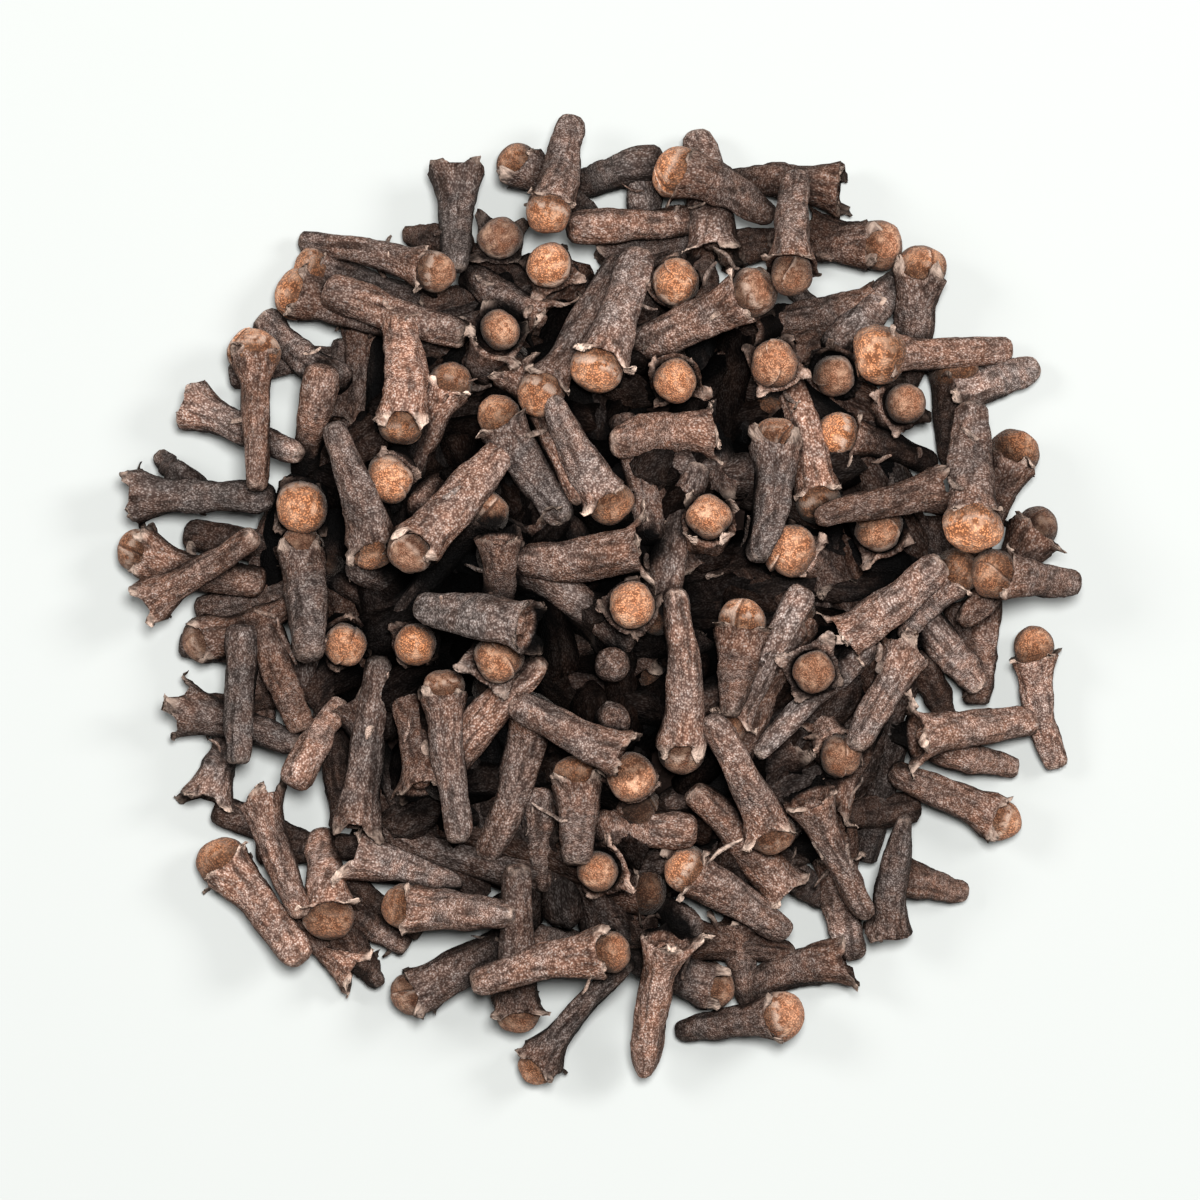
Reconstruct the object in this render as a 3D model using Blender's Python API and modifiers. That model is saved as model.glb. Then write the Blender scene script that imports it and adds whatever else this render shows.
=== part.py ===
"""A round heap of whole cloves as it lies on a table, one closed solid with a flat underside.

The middle is a plain core. The cloves that show are laid on it one after another, each of them
at rest on what already lies there, and all of them are fused with the core.
Metres, +Z up. The origin is on the table under the middle of the heap.
"""

import math
import random

import bmesh
import bpy
import numpy as np
from mathutils import Quaternion, Vector

MM = 0.001
SEED = 11

# Core under the cloves that show: a dome that runs out into a thin flat rim
DOME_RADIUS = 35 * MM
DOME_TOP = 10.5 * MM
RIM_HEIGHT = 1.5 * MM
RIM_INSET = 1.3 * MM
RIM_RADIUS_MIN = 36 * MM
RIM_RADIUS_MAX = 41 * MM
CORE_RINGS = 4
CORE_SPOKES = 48

# Cloves that fill the gaps between the ones whose places are read
FILLER_COUNT = 10
FILLER_TRIES = 60
FILLER_REACH = 33 * MM
FILLER_SIZE = 0.95

# Clove: an axis from the tail of the stem to the middle of the bud
CLOVE_LENGTH = 13.2 * MM
BUD_RADIUS = 2.4 * MM
BUD_TOP = 2.25 * MM
BUD_SHOULDER_RADIUS = 1.8 * MM
BUD_SHOULDER = 1.4 * MM
CALYX_DEPTH = 0.7 * MM
CALYX_RADIUS = 2.33 * MM
LOBE_RADIUS = 2.95 * MM
LOBE_LIFT = 0.3 * MM
NECK_RADIUS = 1.95 * MM
NECK_DEPTH = 2.9 * MM
TAIL_RADIUS = 1.35 * MM
ROUND_END = 1.1 * MM
SIZE_SPREAD = 0.09

# Clove without its bud
OPEN_END_RADIUS = 2.16 * MM
OPEN_RIM_RADIUS = 1.75 * MM
OPEN_RIM_DEPTH = 0.4 * MM
OPEN_HOLLOW = 1.2 * MM
OPEN_NECK_DEPTH = 2.4 * MM
OPEN_LOBE_LIFT = 1.1 * MM

# Bare stalk, and the plain clove that fills a gap
STALK_RADIUS = 1.6 * MM
FILLER_RADIUS = 2.16 * MM
FILLER_TOP = 1.9 * MM

LOBES = 4
CLOVE_SIDES = 2 * LOBES
STALK_SIDES = 6

# Rest of a clove on its neighbours
SAMPLES = 15
NECK_STEP = 0.82
BUD_STEP = 0.92
CONTACT_SHARES = (-0.8, -0.4, 0, 0.4, 0.8)
LONGEST_INSET = 0.25
BALANCE = 0.6
STEEPEST_LIE = math.radians(24)
STANDING_SHARE = 0.5
SINK = 1.05 * MM
STANDING_CONTACT = 0.7
STANDING_SINK = 2.2 * MM
TABLE_GAP = 0.35 * MM

# Roll about the axis: a lying clove rests on two of its lobes
LEVEL_ROLL = math.radians(45)
ROLL_SPREAD = math.radians(8)

# Grid that holds the height of the heap so far
GRID_PITCH = 0.5 * MM
GRID_HALF = 52 * MM

# Places of the cloves that show, read by eye to the nearest half millimetre, in the order in
# which they lie on each other. Each row is the head's x and y and the tail's x and y, in MM.
PLACES = (
    ("stalk", (
        (-36, 9, -40.5, 13.5), (-22.5, 3.5, -14.5, 0), (6, 40.5, -2, 38), (21, 22.5, 28, 30),
        (-23, 19.5, -31, 26), (-25, 21.5, -27, 11), (-25, -26.5, -17.5, -32), (30, -13, 38.5, -15.5),
        (35.5, 1, 34.5, -9.5), (29, -1, 35, -8), (-11.5, 32.5, -18, 33.5), (4, 35, 4.5, 41),
        (2, -12, -1.5, -6), (-16.5, 7.5, -11.5, 14))),
    ("open", (
        (-36, -18.5, -33.5, -11), (-9, 6, -9, -2), (10.5, 31.5, 9, 43), (22.5, 37.5, 11.5, 38.5),
        (-37.5, 18, -27, 13), (-38, -10, -27, -13), (-22, -34, -29.5, -28.5), (27, -25, 34, -27),
        (23, -33, 13.5, -35.5))),
    ("bud", (
        (-19, 11, -16, 14.5), (16.5, -38, 7, -39.5), (10.5, -35.5, 2, -32.5), (-5.5, -42.5, 3, -32.5),
        (-7.5, 40, 1, 33), (25.5, 32.5, 15.5, 32.5), (29.5, 30.5, 28, 19), (-27.5, 28, -16.5, 24.5),
        (-42, 4.5, -30.5, 1.5), (-36, -3.5, -27, 0), (-34.5, -24, -27, -33), (-17, -36, -6.5, -29.5),
        (-7.5, -37.5, -7.5, -24), (40, 6.5, 33, -2), (38, 13.5, 33.5, 3), (-24.5, -29, -25.5, -21),
        (0, -24.5, 4, -23))),
    ("stalk", (
        (1, -5, 2, -8), (-3, 34, 9, 35), (-28, -17, -23.5, -9), (9, -30.5, 3.5, -26))),
    ("open", (
        (-42.5, 9.5, -29.5, 9.5), (17, -26.5, 8.5, -17), (20.5, -19, 25.5, -9), (-16, -17.5, -18, -8),
        (-22.5, -23, -12.5, -26), (12.5, 24.5, 18.5, 26.5))),
    ("bud", (
        (22, -14, 18.5, -8), (32.5, 2.5, 27.5, -3.5), (25.5, 6.5, 27, 3.5), (28, 18, 24, 16.5),
        (21.5, 20.5, 23, 23), (-23, -4, -24.5, 0), (-16.5, -4, -17, -1.5), (3, -0.5, 0.5, -3.5),
        (10, 7.5, 9.5, 0), (3, -16, 4.5, -19), (-9, 33, -9, 31), (7, 29, 5, 26.5),
        (-9, -5, -11, -8))),
    ("stalk", (
        (-25, 28.5, -12, 24), (5, 5, 2, 17), (-30.5, -2, -27, -12), (-32.5, -2, -33, -15),
        (-5.5, -16.5, -5, -26.5), (9, -21, -1, -20.5), (25, -3.5, 14, -14))),
    ("open", (
        (-4.5, 25, -12.5, 30), (10.5, 15, 1, 14.5), (-41, 0, -31, 6), (-22, -20.5, -20, -5),
        (-31, -18, -27, -29), (19, -17.5, 24.5, -29), (26.5, -30.5, 28, -19.5), (28, -4.5, 23, -13.5),
        (31, 10, 19.5, 7.5), (32.5, 18.5, 40.5, 21.5), (-13, 39.5, -13, 30), (-6, -2.5, -16.5, -0.5),
        (2.5, -14, -8, -9))),
    ("bud", (
        (-9, 24.5, -12.5, 18), (1, 9, -4.5, 18.5), (-9, 16.5, -3, 7), (-18, 16, -18, 26),
        (-20.5, 5, -24, 16), (-31.5, 22.5, -31, 10), (-27, 8.5, -27, 11), (-27, 4.5, -26, -5.5),
        (-17.5, -28, -7.5, -28.5), (1, -32, -11.5, -35), (-2, -16, -2, -24), (8, -24.5, 17.5, -30.5),
        (36.5, -20, 26.5, -15.5), (40, -4.5, 42, -15.5), (36, 2.5, 44, 1.5), (17.5, 4.5, 23.5, 1),
        (16, 14.5, 14.5, 3.5), (22, 15, 31, 12.5), (16, 21.5, 17, 18.5), (14, 28, 3, 23),
        (7, 20, 6.5, 23), (17.5, 29.5, 18, 39), (7, 39, 16, 35), (-4.5, 30.5, -3.5, 28),
        (-4.5, 35.5, -2.5, 44.5), (13, -2, 12, -10.5), (-17, 4.5, -8.5, 14))),
    ("open", (
        (4, 5, -7.5, 3.5), (22, -3.5, 31.5, 3.5), (28.5, -12.5, 40, -11), (6.5, -30.5, 4, -43.5))),
    ("bud", (
        (-15, 30, -27.5, 33), (7.5, -13.5, 7, 1), (34, 7, 34, 18), (19.5, -6.5, 18.5, -4.5),
        (15.5, -21, 10, -10.5), (-14, -8, -12.5, -22), (25.5, 22.5, 38, 23), (0, 21, 4, 32))),
)

CLOVE_COLOUR = (0.16, 0.085, 0.055, 1)
CLOVE_ROUGHNESS = 0.8


def clear_scene():
    for item in list(bpy.data.objects):
        bpy.data.objects.remove(item)


def core_height(radius):
    """Height of the core at a distance from its middle."""
    share = np.clip(radius / DOME_RADIUS, 0, 1)
    return RIM_HEIGHT + (DOME_TOP - RIM_HEIGHT) * (1 - share * share)


class Surface:
    """The top of what lies there so far, as heights on a square grid."""

    def __init__(self):
        self.line = np.arange(-GRID_HALF, GRID_HALF + GRID_PITCH / 2, GRID_PITCH)
        across, along = np.meshgrid(self.line, self.line, indexing="ij")
        off = np.sqrt(across ** 2 + along ** 2)
        self.height = np.where(off < DOME_RADIUS, core_height(off), 0)

    def cell(self, value):
        found = np.rint((value + GRID_HALF) / GRID_PITCH).astype(int)
        return np.clip(found, 0, len(self.line) - 1)

    def at(self, x, y):
        return self.height[self.cell(x), self.cell(y)]

    def cover(self, tail, head, radii):
        """Raise the surface to the top of a clove, taken as a row of balls along its axis."""
        for step, radius in zip(np.linspace(0, 1, SAMPLES), radii):
            x, y, z = tail + step * (head - tail)
            first_x, last_x = self.cell(np.array((x - radius, x + radius)))
            first_y, last_y = self.cell(np.array((y - radius, y + radius)))
            window = (slice(first_x, last_x + 1), slice(first_y, last_y + 1))
            off_x = self.line[window[0]][:, None] - x
            off_y = self.line[window[1]][None, :] - y
            inside = radius ** 2 - off_x ** 2 - off_y ** 2
            top = np.where(inside > 0, z + np.sqrt(np.maximum(inside, 0)), 0)
            self.height[window] = np.maximum(self.height[window], top)


def clove_radii(kind, size):
    """Radius at each sample along the axis, tail first."""
    marks, radii = {
        "bud": ((0, NECK_STEP, BUD_STEP, 1), (TAIL_RADIUS, NECK_RADIUS, BUD_RADIUS, BUD_RADIUS)),
        "filler": ((0, 1), (TAIL_RADIUS, FILLER_RADIUS)),
        "open": ((0, NECK_STEP, 1), (TAIL_RADIUS, NECK_RADIUS, OPEN_END_RADIUS)),
        "stalk": ((0, 1), (TAIL_RADIUS, STALK_RADIUS)),
    }[kind]
    return size * np.interp(np.linspace(0, 1, SAMPLES), marks, radii)


def resting_heights(surface, tail, head, radii):
    """Heights of the axis at the tail and at the head, where a clove comes to rest.

    A lying clove rests on the two contacts on either side of its balance point. One that is seen
    much shorter than it is stands on its tail among its neighbours, its head up.
    """
    steps = np.linspace(0, 1, SAMPLES)
    run_x, run_y = head[0] - tail[0], head[1] - tail[1]
    plan = math.sqrt(run_x ** 2 + run_y ** 2)
    need = np.zeros(SAMPLES)
    for share in CONTACT_SHARES:
        x = tail[0] + steps * run_x - share * radii * run_y / plan
        y = tail[1] + steps * run_y + share * radii * run_x / plan
        need = np.maximum(need, surface.at(x, y) + radii * math.sqrt(1 - share ** 2))
    if plan < STANDING_SHARE * CLOVE_LENGTH:
        rise = math.sqrt(CLOVE_LENGTH ** 2 - plan ** 2)
        upper = steps > STANDING_CONTACT
        start = np.max(need[upper] - rise * steps[upper]) - STANDING_SINK
        end = max(start + rise, radii[-1] + TABLE_GAP)
        return max(start, radii[0] + TABLE_GAP), end
    level, rise = -1, 0
    for lower in np.flatnonzero(steps <= BALANCE):
        for upper in np.flatnonzero(steps > BALANCE):
            slope = (need[upper] - need[lower]) / (steps[upper] - steps[lower])
            found = need[lower] + slope * (BALANCE - steps[lower])
            if found > level:
                level, rise = found, slope
    steepest = plan * math.tan(STEEPEST_LIE)
    rise = min(max(rise, -steepest), steepest)
    start = np.max(need - rise * steps) - SINK
    start += max(0, np.max(radii + TABLE_GAP - start - rise * steps))
    return start, start + rise


def lay(surface, kind, size, tail, head):
    """Lay one clove on the surface. Gives its kind, its size, its tail and its head."""
    radii = clove_radii(kind, size)
    tail_height, head_height = resting_heights(surface, tail, head, radii)
    tail = np.array((tail[0], tail[1], round(float(tail_height), 5)))
    head = np.array((head[0], head[1], round(float(head_height), 5)))
    surface.cover(tail, head, radii)
    return kind, size, tail, head


def shown_pieces(draw):
    """The cloves whose places are read, as kind, size, tail and head seen from above.

    The places are the outer ends of a stem, and the axis stops short of them by its round end.
    """
    shown = []
    for kind, rows in PLACES:
        for row in rows:
            size = 1 + SIZE_SPREAD * (2 * draw.random() - 1)
            head, tail = np.array(row[:2]) * MM, np.array(row[2:]) * MM
            inset = (head - tail) * min(LONGEST_INSET, ROUND_END / math.dist(head, tail))
            tail = tail + inset
            if kind == "stalk":
                head = head - inset
            shown.append((kind, size, tail, head))
    return shown


def footprint(tail, head):
    """Places along a clove seen from above."""
    steps = np.linspace(0, 1, SAMPLES)
    return tail[0] + steps * (head[0] - tail[0]), tail[1] + steps * (head[1] - tail[1])


def mark_covered(cover, kind, size, tail, head):
    """Mark what a clove covers, seen from above."""
    cover.cover(np.array((*tail, 0)), np.array((*head, 0)), clove_radii(kind, size))


def random_place(draw):
    """Tail and head of a clove anywhere in the round that the fillers keep to."""
    radius = FILLER_REACH * math.sqrt(draw.random())
    angle = math.tau * draw.random()
    turn = math.tau * draw.random()
    middle = np.array((radius * math.cos(angle), radius * math.sin(angle)))
    half = 0.5 * CLOVE_LENGTH * np.array((math.cos(turn), math.sin(turn)))
    return middle - half, middle + half


def filler_pieces(shown, draw):
    """Cloves for the gaps: each goes where the most of its length is still bare."""
    cover = Surface()
    cover.height[:] = 0
    for piece in shown:
        mark_covered(cover, *piece)
    fillers = []
    for _ in range(FILLER_COUNT):
        most, best = -1, None
        for _ in range(FILLER_TRIES):
            place = random_place(draw)
            if max(math.hypot(*end) for end in place) < FILLER_REACH:
                bare = np.count_nonzero(cover.at(*footprint(*place)) <= 0)
                if bare > most:
                    most, best = bare, place
        filler = ("filler", FILLER_SIZE, *best)
        mark_covered(cover, *filler)
        fillers.append(filler)
    return fillers


def lay_heap(draw):
    """Lay the cloves one after another, the hidden ones first."""
    surface = Surface()
    shown = shown_pieces(draw)
    laid = [lay(surface, *piece) for piece in filler_pieces(shown, draw) + shown]
    return surface, laid


def turned_mesh(name, profile, sides):
    """Closed turned body. The profile is radius and height, from the tip down to the tail.

    The flat sides touch the round body from outside.
    """
    wire = bpy.data.meshes.new(name + "_profile")
    corner = 1 / math.cos(math.pi / sides)
    points = [(corner * radius, 0, height) for radius, height in profile]
    wire.from_pydata(points, [(index, index + 1) for index in range(len(points) - 1)], [])
    turned = bpy.data.objects.new(name + "_profile", wire)
    bpy.context.scene.collection.objects.link(turned)
    screw = turned.modifiers.new("Turn", "SCREW")
    screw.steps = sides
    screw.render_steps = sides
    screw.use_merge_vertices = True
    screw.merge_threshold = 0.0001
    seen = turned.evaluated_get(bpy.context.evaluated_depsgraph_get())
    mesh = bpy.data.meshes.new_from_object(seen)
    bpy.data.objects.remove(turned)
    return mesh


def spread_lobes(mesh, ring_height, lift):
    """Draw every other corner of the calyx ring out and up, as the four lobes."""
    for vertex in mesh.vertices:
        if abs(vertex.co.z - ring_height) < 0.1 * MM:
            angle = math.atan2(vertex.co.y, vertex.co.x)
            if math.cos(LOBES * angle) > 0:
                vertex.co.x = LOBE_RADIUS * math.cos(angle)
                vertex.co.y = LOBE_RADIUS * math.sin(angle)
                vertex.co.z += lift


def bud_mesh():
    """Whole clove: a ball of petals that sits in the calyx on a tapering stem."""
    calyx = CLOVE_LENGTH - CALYX_DEPTH
    profile = (
        (0, CLOVE_LENGTH + BUD_TOP),
        (BUD_SHOULDER_RADIUS, CLOVE_LENGTH + BUD_SHOULDER),
        (CALYX_RADIUS, calyx),
        (NECK_RADIUS, CLOVE_LENGTH - NECK_DEPTH),
        (TAIL_RADIUS, 0),
        (0, -ROUND_END))
    mesh = turned_mesh("bud", profile, CLOVE_SIDES)
    spread_lobes(mesh, calyx, LOBE_LIFT)
    return mesh


def open_mesh():
    """Clove that has lost its bud: the calyx lobes stand round a shallow hollow."""
    rim = CLOVE_LENGTH - OPEN_RIM_DEPTH
    profile = (
        (0, CLOVE_LENGTH - OPEN_HOLLOW),
        (OPEN_RIM_RADIUS, rim),
        (NECK_RADIUS, CLOVE_LENGTH - OPEN_NECK_DEPTH),
        (TAIL_RADIUS, 0),
        (0, -ROUND_END))
    mesh = turned_mesh("open", profile, CLOVE_SIDES)
    spread_lobes(mesh, rim, OPEN_LOBE_LIFT)
    return mesh


def stalk_mesh():
    """Bare stalk."""
    profile = (
        (0, CLOVE_LENGTH + ROUND_END),
        (STALK_RADIUS, CLOVE_LENGTH),
        (TAIL_RADIUS, 0),
        (0, -ROUND_END))
    return turned_mesh("stalk", profile, STALK_SIDES)


def filler_mesh():
    """Clove deep in a gap, where little more than its outline shows."""
    profile = (
        (0, CLOVE_LENGTH + FILLER_TOP),
        (FILLER_RADIUS, CLOVE_LENGTH),
        (TAIL_RADIUS, 0),
        (0, -ROUND_END))
    return turned_mesh("filler", profile, STALK_SIDES)


def place_clove(mesh, number, clove, turn, collection):
    """Put one clove on its axis, stretched to the length between its tail and its head."""
    kind, size, tail, head = clove
    axis = Vector(head - tail)
    item = bpy.data.objects.new(f"{kind}_{number:03d}", mesh)
    collection.objects.link(item)
    item.rotation_mode = "QUATERNION"
    item.rotation_quaternion = axis.to_track_quat("Z", "Y") @ Quaternion((0, 0, 1), turn)
    item.location = tail
    item.scale = (size, size, axis.length / CLOVE_LENGTH)


def rim_radius(surface, angle):
    """Reach of the core's rim in one direction, a little short of the cloves' outline."""
    reach = np.arange(DOME_RADIUS, GRID_HALF, GRID_PITCH)
    covered = surface.at(reach * math.cos(angle), reach * math.sin(angle)) > 0
    outline = float(reach[covered].max()) if covered.any() else DOME_RADIUS
    return min(max(outline - RIM_INSET, RIM_RADIUS_MIN), RIM_RADIUS_MAX)


def core_object(surface, collection, material):
    """Low dome with a thin rim that follows the cloves' outline, flat below."""
    rings = [DOME_RADIUS * index / CORE_RINGS for index in range(CORE_RINGS + 1)]
    profile = [(radius, core_height(radius)) for radius in rings]
    profile += [(RIM_RADIUS_MAX, RIM_HEIGHT), (RIM_RADIUS_MAX, 0), (0, 0)]
    mesh = turned_mesh("core", profile, CORE_SPOKES)
    for vertex in mesh.vertices:
        if math.hypot(vertex.co.x, vertex.co.y) > RIM_RADIUS_MIN:
            angle = math.atan2(vertex.co.y, vertex.co.x)
            reach = rim_radius(surface, angle)
            vertex.co.x = reach * math.cos(angle)
            vertex.co.y = reach * math.sin(angle)
    core = bpy.data.objects.new("clove_heap", mesh)
    core.data.materials.append(material)
    collection.objects.link(core)
    return core


def clove_material():
    material = bpy.data.materials.new("clove")
    material.use_nodes = True
    shader = material.node_tree.nodes["Principled BSDF"]
    shader.inputs["Base Color"].default_value = CLOVE_COLOUR
    shader.inputs["Roughness"].default_value = CLOVE_ROUGHNESS
    shader.inputs["Metallic"].default_value = 0
    return material


def fuse(core, pieces):
    """Join the core and every piece into one closed body without sealed hollows."""
    union = core.modifiers.new("Fuse", "BOOLEAN")
    union.operation = "UNION"
    union.operand_type = "COLLECTION"
    union.collection = pieces
    union.solver = "EXACT"
    seen = core.evaluated_get(bpy.context.evaluated_depsgraph_get())
    fused = bpy.data.meshes.new_from_object(seen)
    core.modifiers.remove(union)
    for item in list(pieces.objects):
        bpy.data.objects.remove(item)
    bpy.data.collections.remove(pieces)
    core.data = fused
    keep_outer_body(fused)


def connected_vertices(start, waiting):
    """Take everything joined to a vertex out of the waiting ones."""
    island = []
    border = [start]
    while border:
        vertex = border.pop()
        island.append(vertex)
        for edge in vertex.link_edges:
            other = edge.other_vert(vertex)
            if other in waiting:
                waiting.remove(other)
                border.append(other)
    return island


def keep_outer_body(mesh):
    """Drop the walls of sealed hollows and any loose scrap, which leaves the outer body."""
    body = bmesh.new()
    body.from_mesh(mesh)
    waiting = set(body.verts)
    islands = []
    while waiting:
        islands.append(connected_vertices(waiting.pop(), waiting))
    islands.sort(key=len)
    spare = [vertex for island in islands[:-1] for vertex in island]
    bmesh.ops.delete(body, geom=spare, context="VERTS")
    bmesh.ops.triangulate(body, faces=body.faces)
    body.to_mesh(mesh)
    body.free()


def build():
    clear_scene()
    heap = bpy.data.collections.new("Heap of cloves")
    pieces = bpy.data.collections.new("Pieces")
    bpy.context.scene.collection.children.link(heap)
    bpy.context.scene.collection.children.link(pieces)
    draw = random.Random(SEED)
    surface, laid = lay_heap(draw)
    core = core_object(surface, heap, clove_material())
    shapes = {"bud": bud_mesh(), "open": open_mesh(), "stalk": stalk_mesh(), "filler": filler_mesh()}
    for number, clove in enumerate(laid):
        turn = LEVEL_ROLL + ROLL_SPREAD * (2 * draw.random() - 1)
        place_clove(shapes[clove[0]], number, clove, turn, pieces)
    fuse(core, pieces)


build()
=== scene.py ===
import math
import random

import bmesh
import bpy
import numpy as np
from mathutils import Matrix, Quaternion, Vector, noise


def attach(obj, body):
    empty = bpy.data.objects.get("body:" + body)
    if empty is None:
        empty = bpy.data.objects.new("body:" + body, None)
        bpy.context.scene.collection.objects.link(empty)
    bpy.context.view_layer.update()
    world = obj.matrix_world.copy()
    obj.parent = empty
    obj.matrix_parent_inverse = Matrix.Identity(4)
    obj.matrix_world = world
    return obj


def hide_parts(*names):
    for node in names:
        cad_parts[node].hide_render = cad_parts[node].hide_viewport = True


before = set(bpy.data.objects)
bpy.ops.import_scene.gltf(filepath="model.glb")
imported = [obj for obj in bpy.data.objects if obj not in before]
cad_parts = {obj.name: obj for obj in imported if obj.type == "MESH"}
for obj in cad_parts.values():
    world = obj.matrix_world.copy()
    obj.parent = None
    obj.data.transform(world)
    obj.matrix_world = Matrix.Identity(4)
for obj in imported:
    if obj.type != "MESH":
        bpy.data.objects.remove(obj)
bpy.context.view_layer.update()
mm = 0.001

# How the cloves lie: the same rule, values and draws as the solid heap
layout = {
    "seed": 11,
    "domeRadius": 35 * mm, "domeTop": 10.5 * mm, "rimHeight": 1.5 * mm,
    "fillerCount": 10, "fillerTries": 60, "fillerReach": 33 * mm, "fillerSize": 0.95,
    "length": 13.2 * mm, "tailRadius": 1.35 * mm, "neckRadius": 1.95 * mm, "budRadius": 2.4 * mm,
    "openRadius": 2.16 * mm, "stalkRadius": 1.6 * mm, "fillerRadius": 2.16 * mm,
    "roundEnd": 1.1 * mm, "sizeSpread": 0.09, "samples": 15, "neckStep": 0.82, "budStep": 0.92,
    "contactShares": (-0.8, -0.4, 0, 0.4, 0.8), "longestInset": 0.25, "balance": 0.6,
    "steepestLie": math.radians(24), "standingShare": 0.5, "sink": 1.05 * mm,
    "standingContact": 0.7, "standingSink": 2.2 * mm, "tableGap": 0.35 * mm,
    "levelRoll": math.radians(45), "rollSpread": math.radians(8),
    "gridPitch": 0.5 * mm, "gridHalf": 52 * mm,
}

# Head x and y, tail x and y in mm, in the order in which the cloves lie on each other
places = (
    ("stalk", (
        (-36, 9, -40.5, 13.5), (-22.5, 3.5, -14.5, 0), (6, 40.5, -2, 38), (21, 22.5, 28, 30),
        (-23, 19.5, -31, 26), (-25, 21.5, -27, 11), (-25, -26.5, -17.5, -32), (30, -13, 38.5, -15.5),
        (35.5, 1, 34.5, -9.5), (29, -1, 35, -8), (-11.5, 32.5, -18, 33.5), (4, 35, 4.5, 41),
        (2, -12, -1.5, -6), (-16.5, 7.5, -11.5, 14))),
    ("open", (
        (-36, -18.5, -33.5, -11), (-9, 6, -9, -2), (10.5, 31.5, 9, 43), (22.5, 37.5, 11.5, 38.5),
        (-37.5, 18, -27, 13), (-38, -10, -27, -13), (-22, -34, -29.5, -28.5), (27, -25, 34, -27),
        (23, -33, 13.5, -35.5))),
    ("bud", (
        (-19, 11, -16, 14.5), (16.5, -38, 7, -39.5), (10.5, -35.5, 2, -32.5), (-5.5, -42.5, 3, -32.5),
        (-7.5, 40, 1, 33), (25.5, 32.5, 15.5, 32.5), (29.5, 30.5, 28, 19), (-27.5, 28, -16.5, 24.5),
        (-42, 4.5, -30.5, 1.5), (-36, -3.5, -27, 0), (-34.5, -24, -27, -33), (-17, -36, -6.5, -29.5),
        (-7.5, -37.5, -7.5, -24), (40, 6.5, 33, -2), (38, 13.5, 33.5, 3), (-24.5, -29, -25.5, -21),
        (0, -24.5, 4, -23))),
    ("stalk", (
        (1, -5, 2, -8), (-3, 34, 9, 35), (-28, -17, -23.5, -9), (9, -30.5, 3.5, -26))),
    ("open", (
        (-42.5, 9.5, -29.5, 9.5), (17, -26.5, 8.5, -17), (20.5, -19, 25.5, -9), (-16, -17.5, -18, -8),
        (-22.5, -23, -12.5, -26), (12.5, 24.5, 18.5, 26.5))),
    ("bud", (
        (22, -14, 18.5, -8), (32.5, 2.5, 27.5, -3.5), (25.5, 6.5, 27, 3.5), (28, 18, 24, 16.5),
        (21.5, 20.5, 23, 23), (-23, -4, -24.5, 0), (-16.5, -4, -17, -1.5), (3, -0.5, 0.5, -3.5),
        (10, 7.5, 9.5, 0), (3, -16, 4.5, -19), (-9, 33, -9, 31), (7, 29, 5, 26.5),
        (-9, -5, -11, -8))),
    ("stalk", (
        (-25, 28.5, -12, 24), (5, 5, 2, 17), (-30.5, -2, -27, -12), (-32.5, -2, -33, -15),
        (-5.5, -16.5, -5, -26.5), (9, -21, -1, -20.5), (25, -3.5, 14, -14))),
    ("open", (
        (-4.5, 25, -12.5, 30), (10.5, 15, 1, 14.5), (-41, 0, -31, 6), (-22, -20.5, -20, -5),
        (-31, -18, -27, -29), (19, -17.5, 24.5, -29), (26.5, -30.5, 28, -19.5), (28, -4.5, 23, -13.5),
        (31, 10, 19.5, 7.5), (32.5, 18.5, 40.5, 21.5), (-13, 39.5, -13, 30), (-6, -2.5, -16.5, -0.5),
        (2.5, -14, -8, -9))),
    ("bud", (
        (-9, 24.5, -12.5, 18), (1, 9, -4.5, 18.5), (-9, 16.5, -3, 7), (-18, 16, -18, 26),
        (-20.5, 5, -24, 16), (-31.5, 22.5, -31, 10), (-27, 8.5, -27, 11), (-27, 4.5, -26, -5.5),
        (-17.5, -28, -7.5, -28.5), (1, -32, -11.5, -35), (-2, -16, -2, -24), (8, -24.5, 17.5, -30.5),
        (36.5, -20, 26.5, -15.5), (40, -4.5, 42, -15.5), (36, 2.5, 44, 1.5), (17.5, 4.5, 23.5, 1),
        (16, 14.5, 14.5, 3.5), (22, 15, 31, 12.5), (16, 21.5, 17, 18.5), (14, 28, 3, 23),
        (7, 20, 6.5, 23), (17.5, 29.5, 18, 39), (7, 39, 16, 35), (-4.5, 30.5, -3.5, 28),
        (-4.5, 35.5, -2.5, 44.5), (13, -2, 12, -10.5), (-17, 4.5, -8.5, 14))),
    ("open", (
        (4, 5, -7.5, 3.5), (22, -3.5, 31.5, 3.5), (28.5, -12.5, 40, -11), (6.5, -30.5, 4, -43.5))),
    ("bud", (
        (-15, 30, -27.5, 33), (7.5, -13.5, 7, 1), (34, 7, 34, 18), (19.5, -6.5, 18.5, -4.5),
        (15.5, -21, 10, -10.5), (-14, -8, -12.5, -22), (25.5, 22.5, 38, 23), (0, 21, 4, 32))),
)

gridLine = np.arange(-layout["gridHalf"], layout["gridHalf"] + layout["gridPitch"] / 2,
                     layout["gridPitch"])


def coreHeight(radius):
    share = np.clip(radius / layout["domeRadius"], 0, 1)
    return layout["rimHeight"] + (layout["domeTop"] - layout["rimHeight"]) * (1 - share * share)


def bareTop(withDome):
    # height of the heap so far on a square grid
    across, along = np.meshgrid(gridLine, gridLine, indexing="ij")
    off = np.sqrt(across ** 2 + along ** 2)
    return np.where(off < layout["domeRadius"], coreHeight(off), 0) if withDome else off * 0


def gridCell(value):
    found = np.rint((value + layout["gridHalf"]) / layout["gridPitch"]).astype(int)
    return np.clip(found, 0, len(gridLine) - 1)


def topAt(top, x, y):
    return top[gridCell(x), gridCell(y)]


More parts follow.
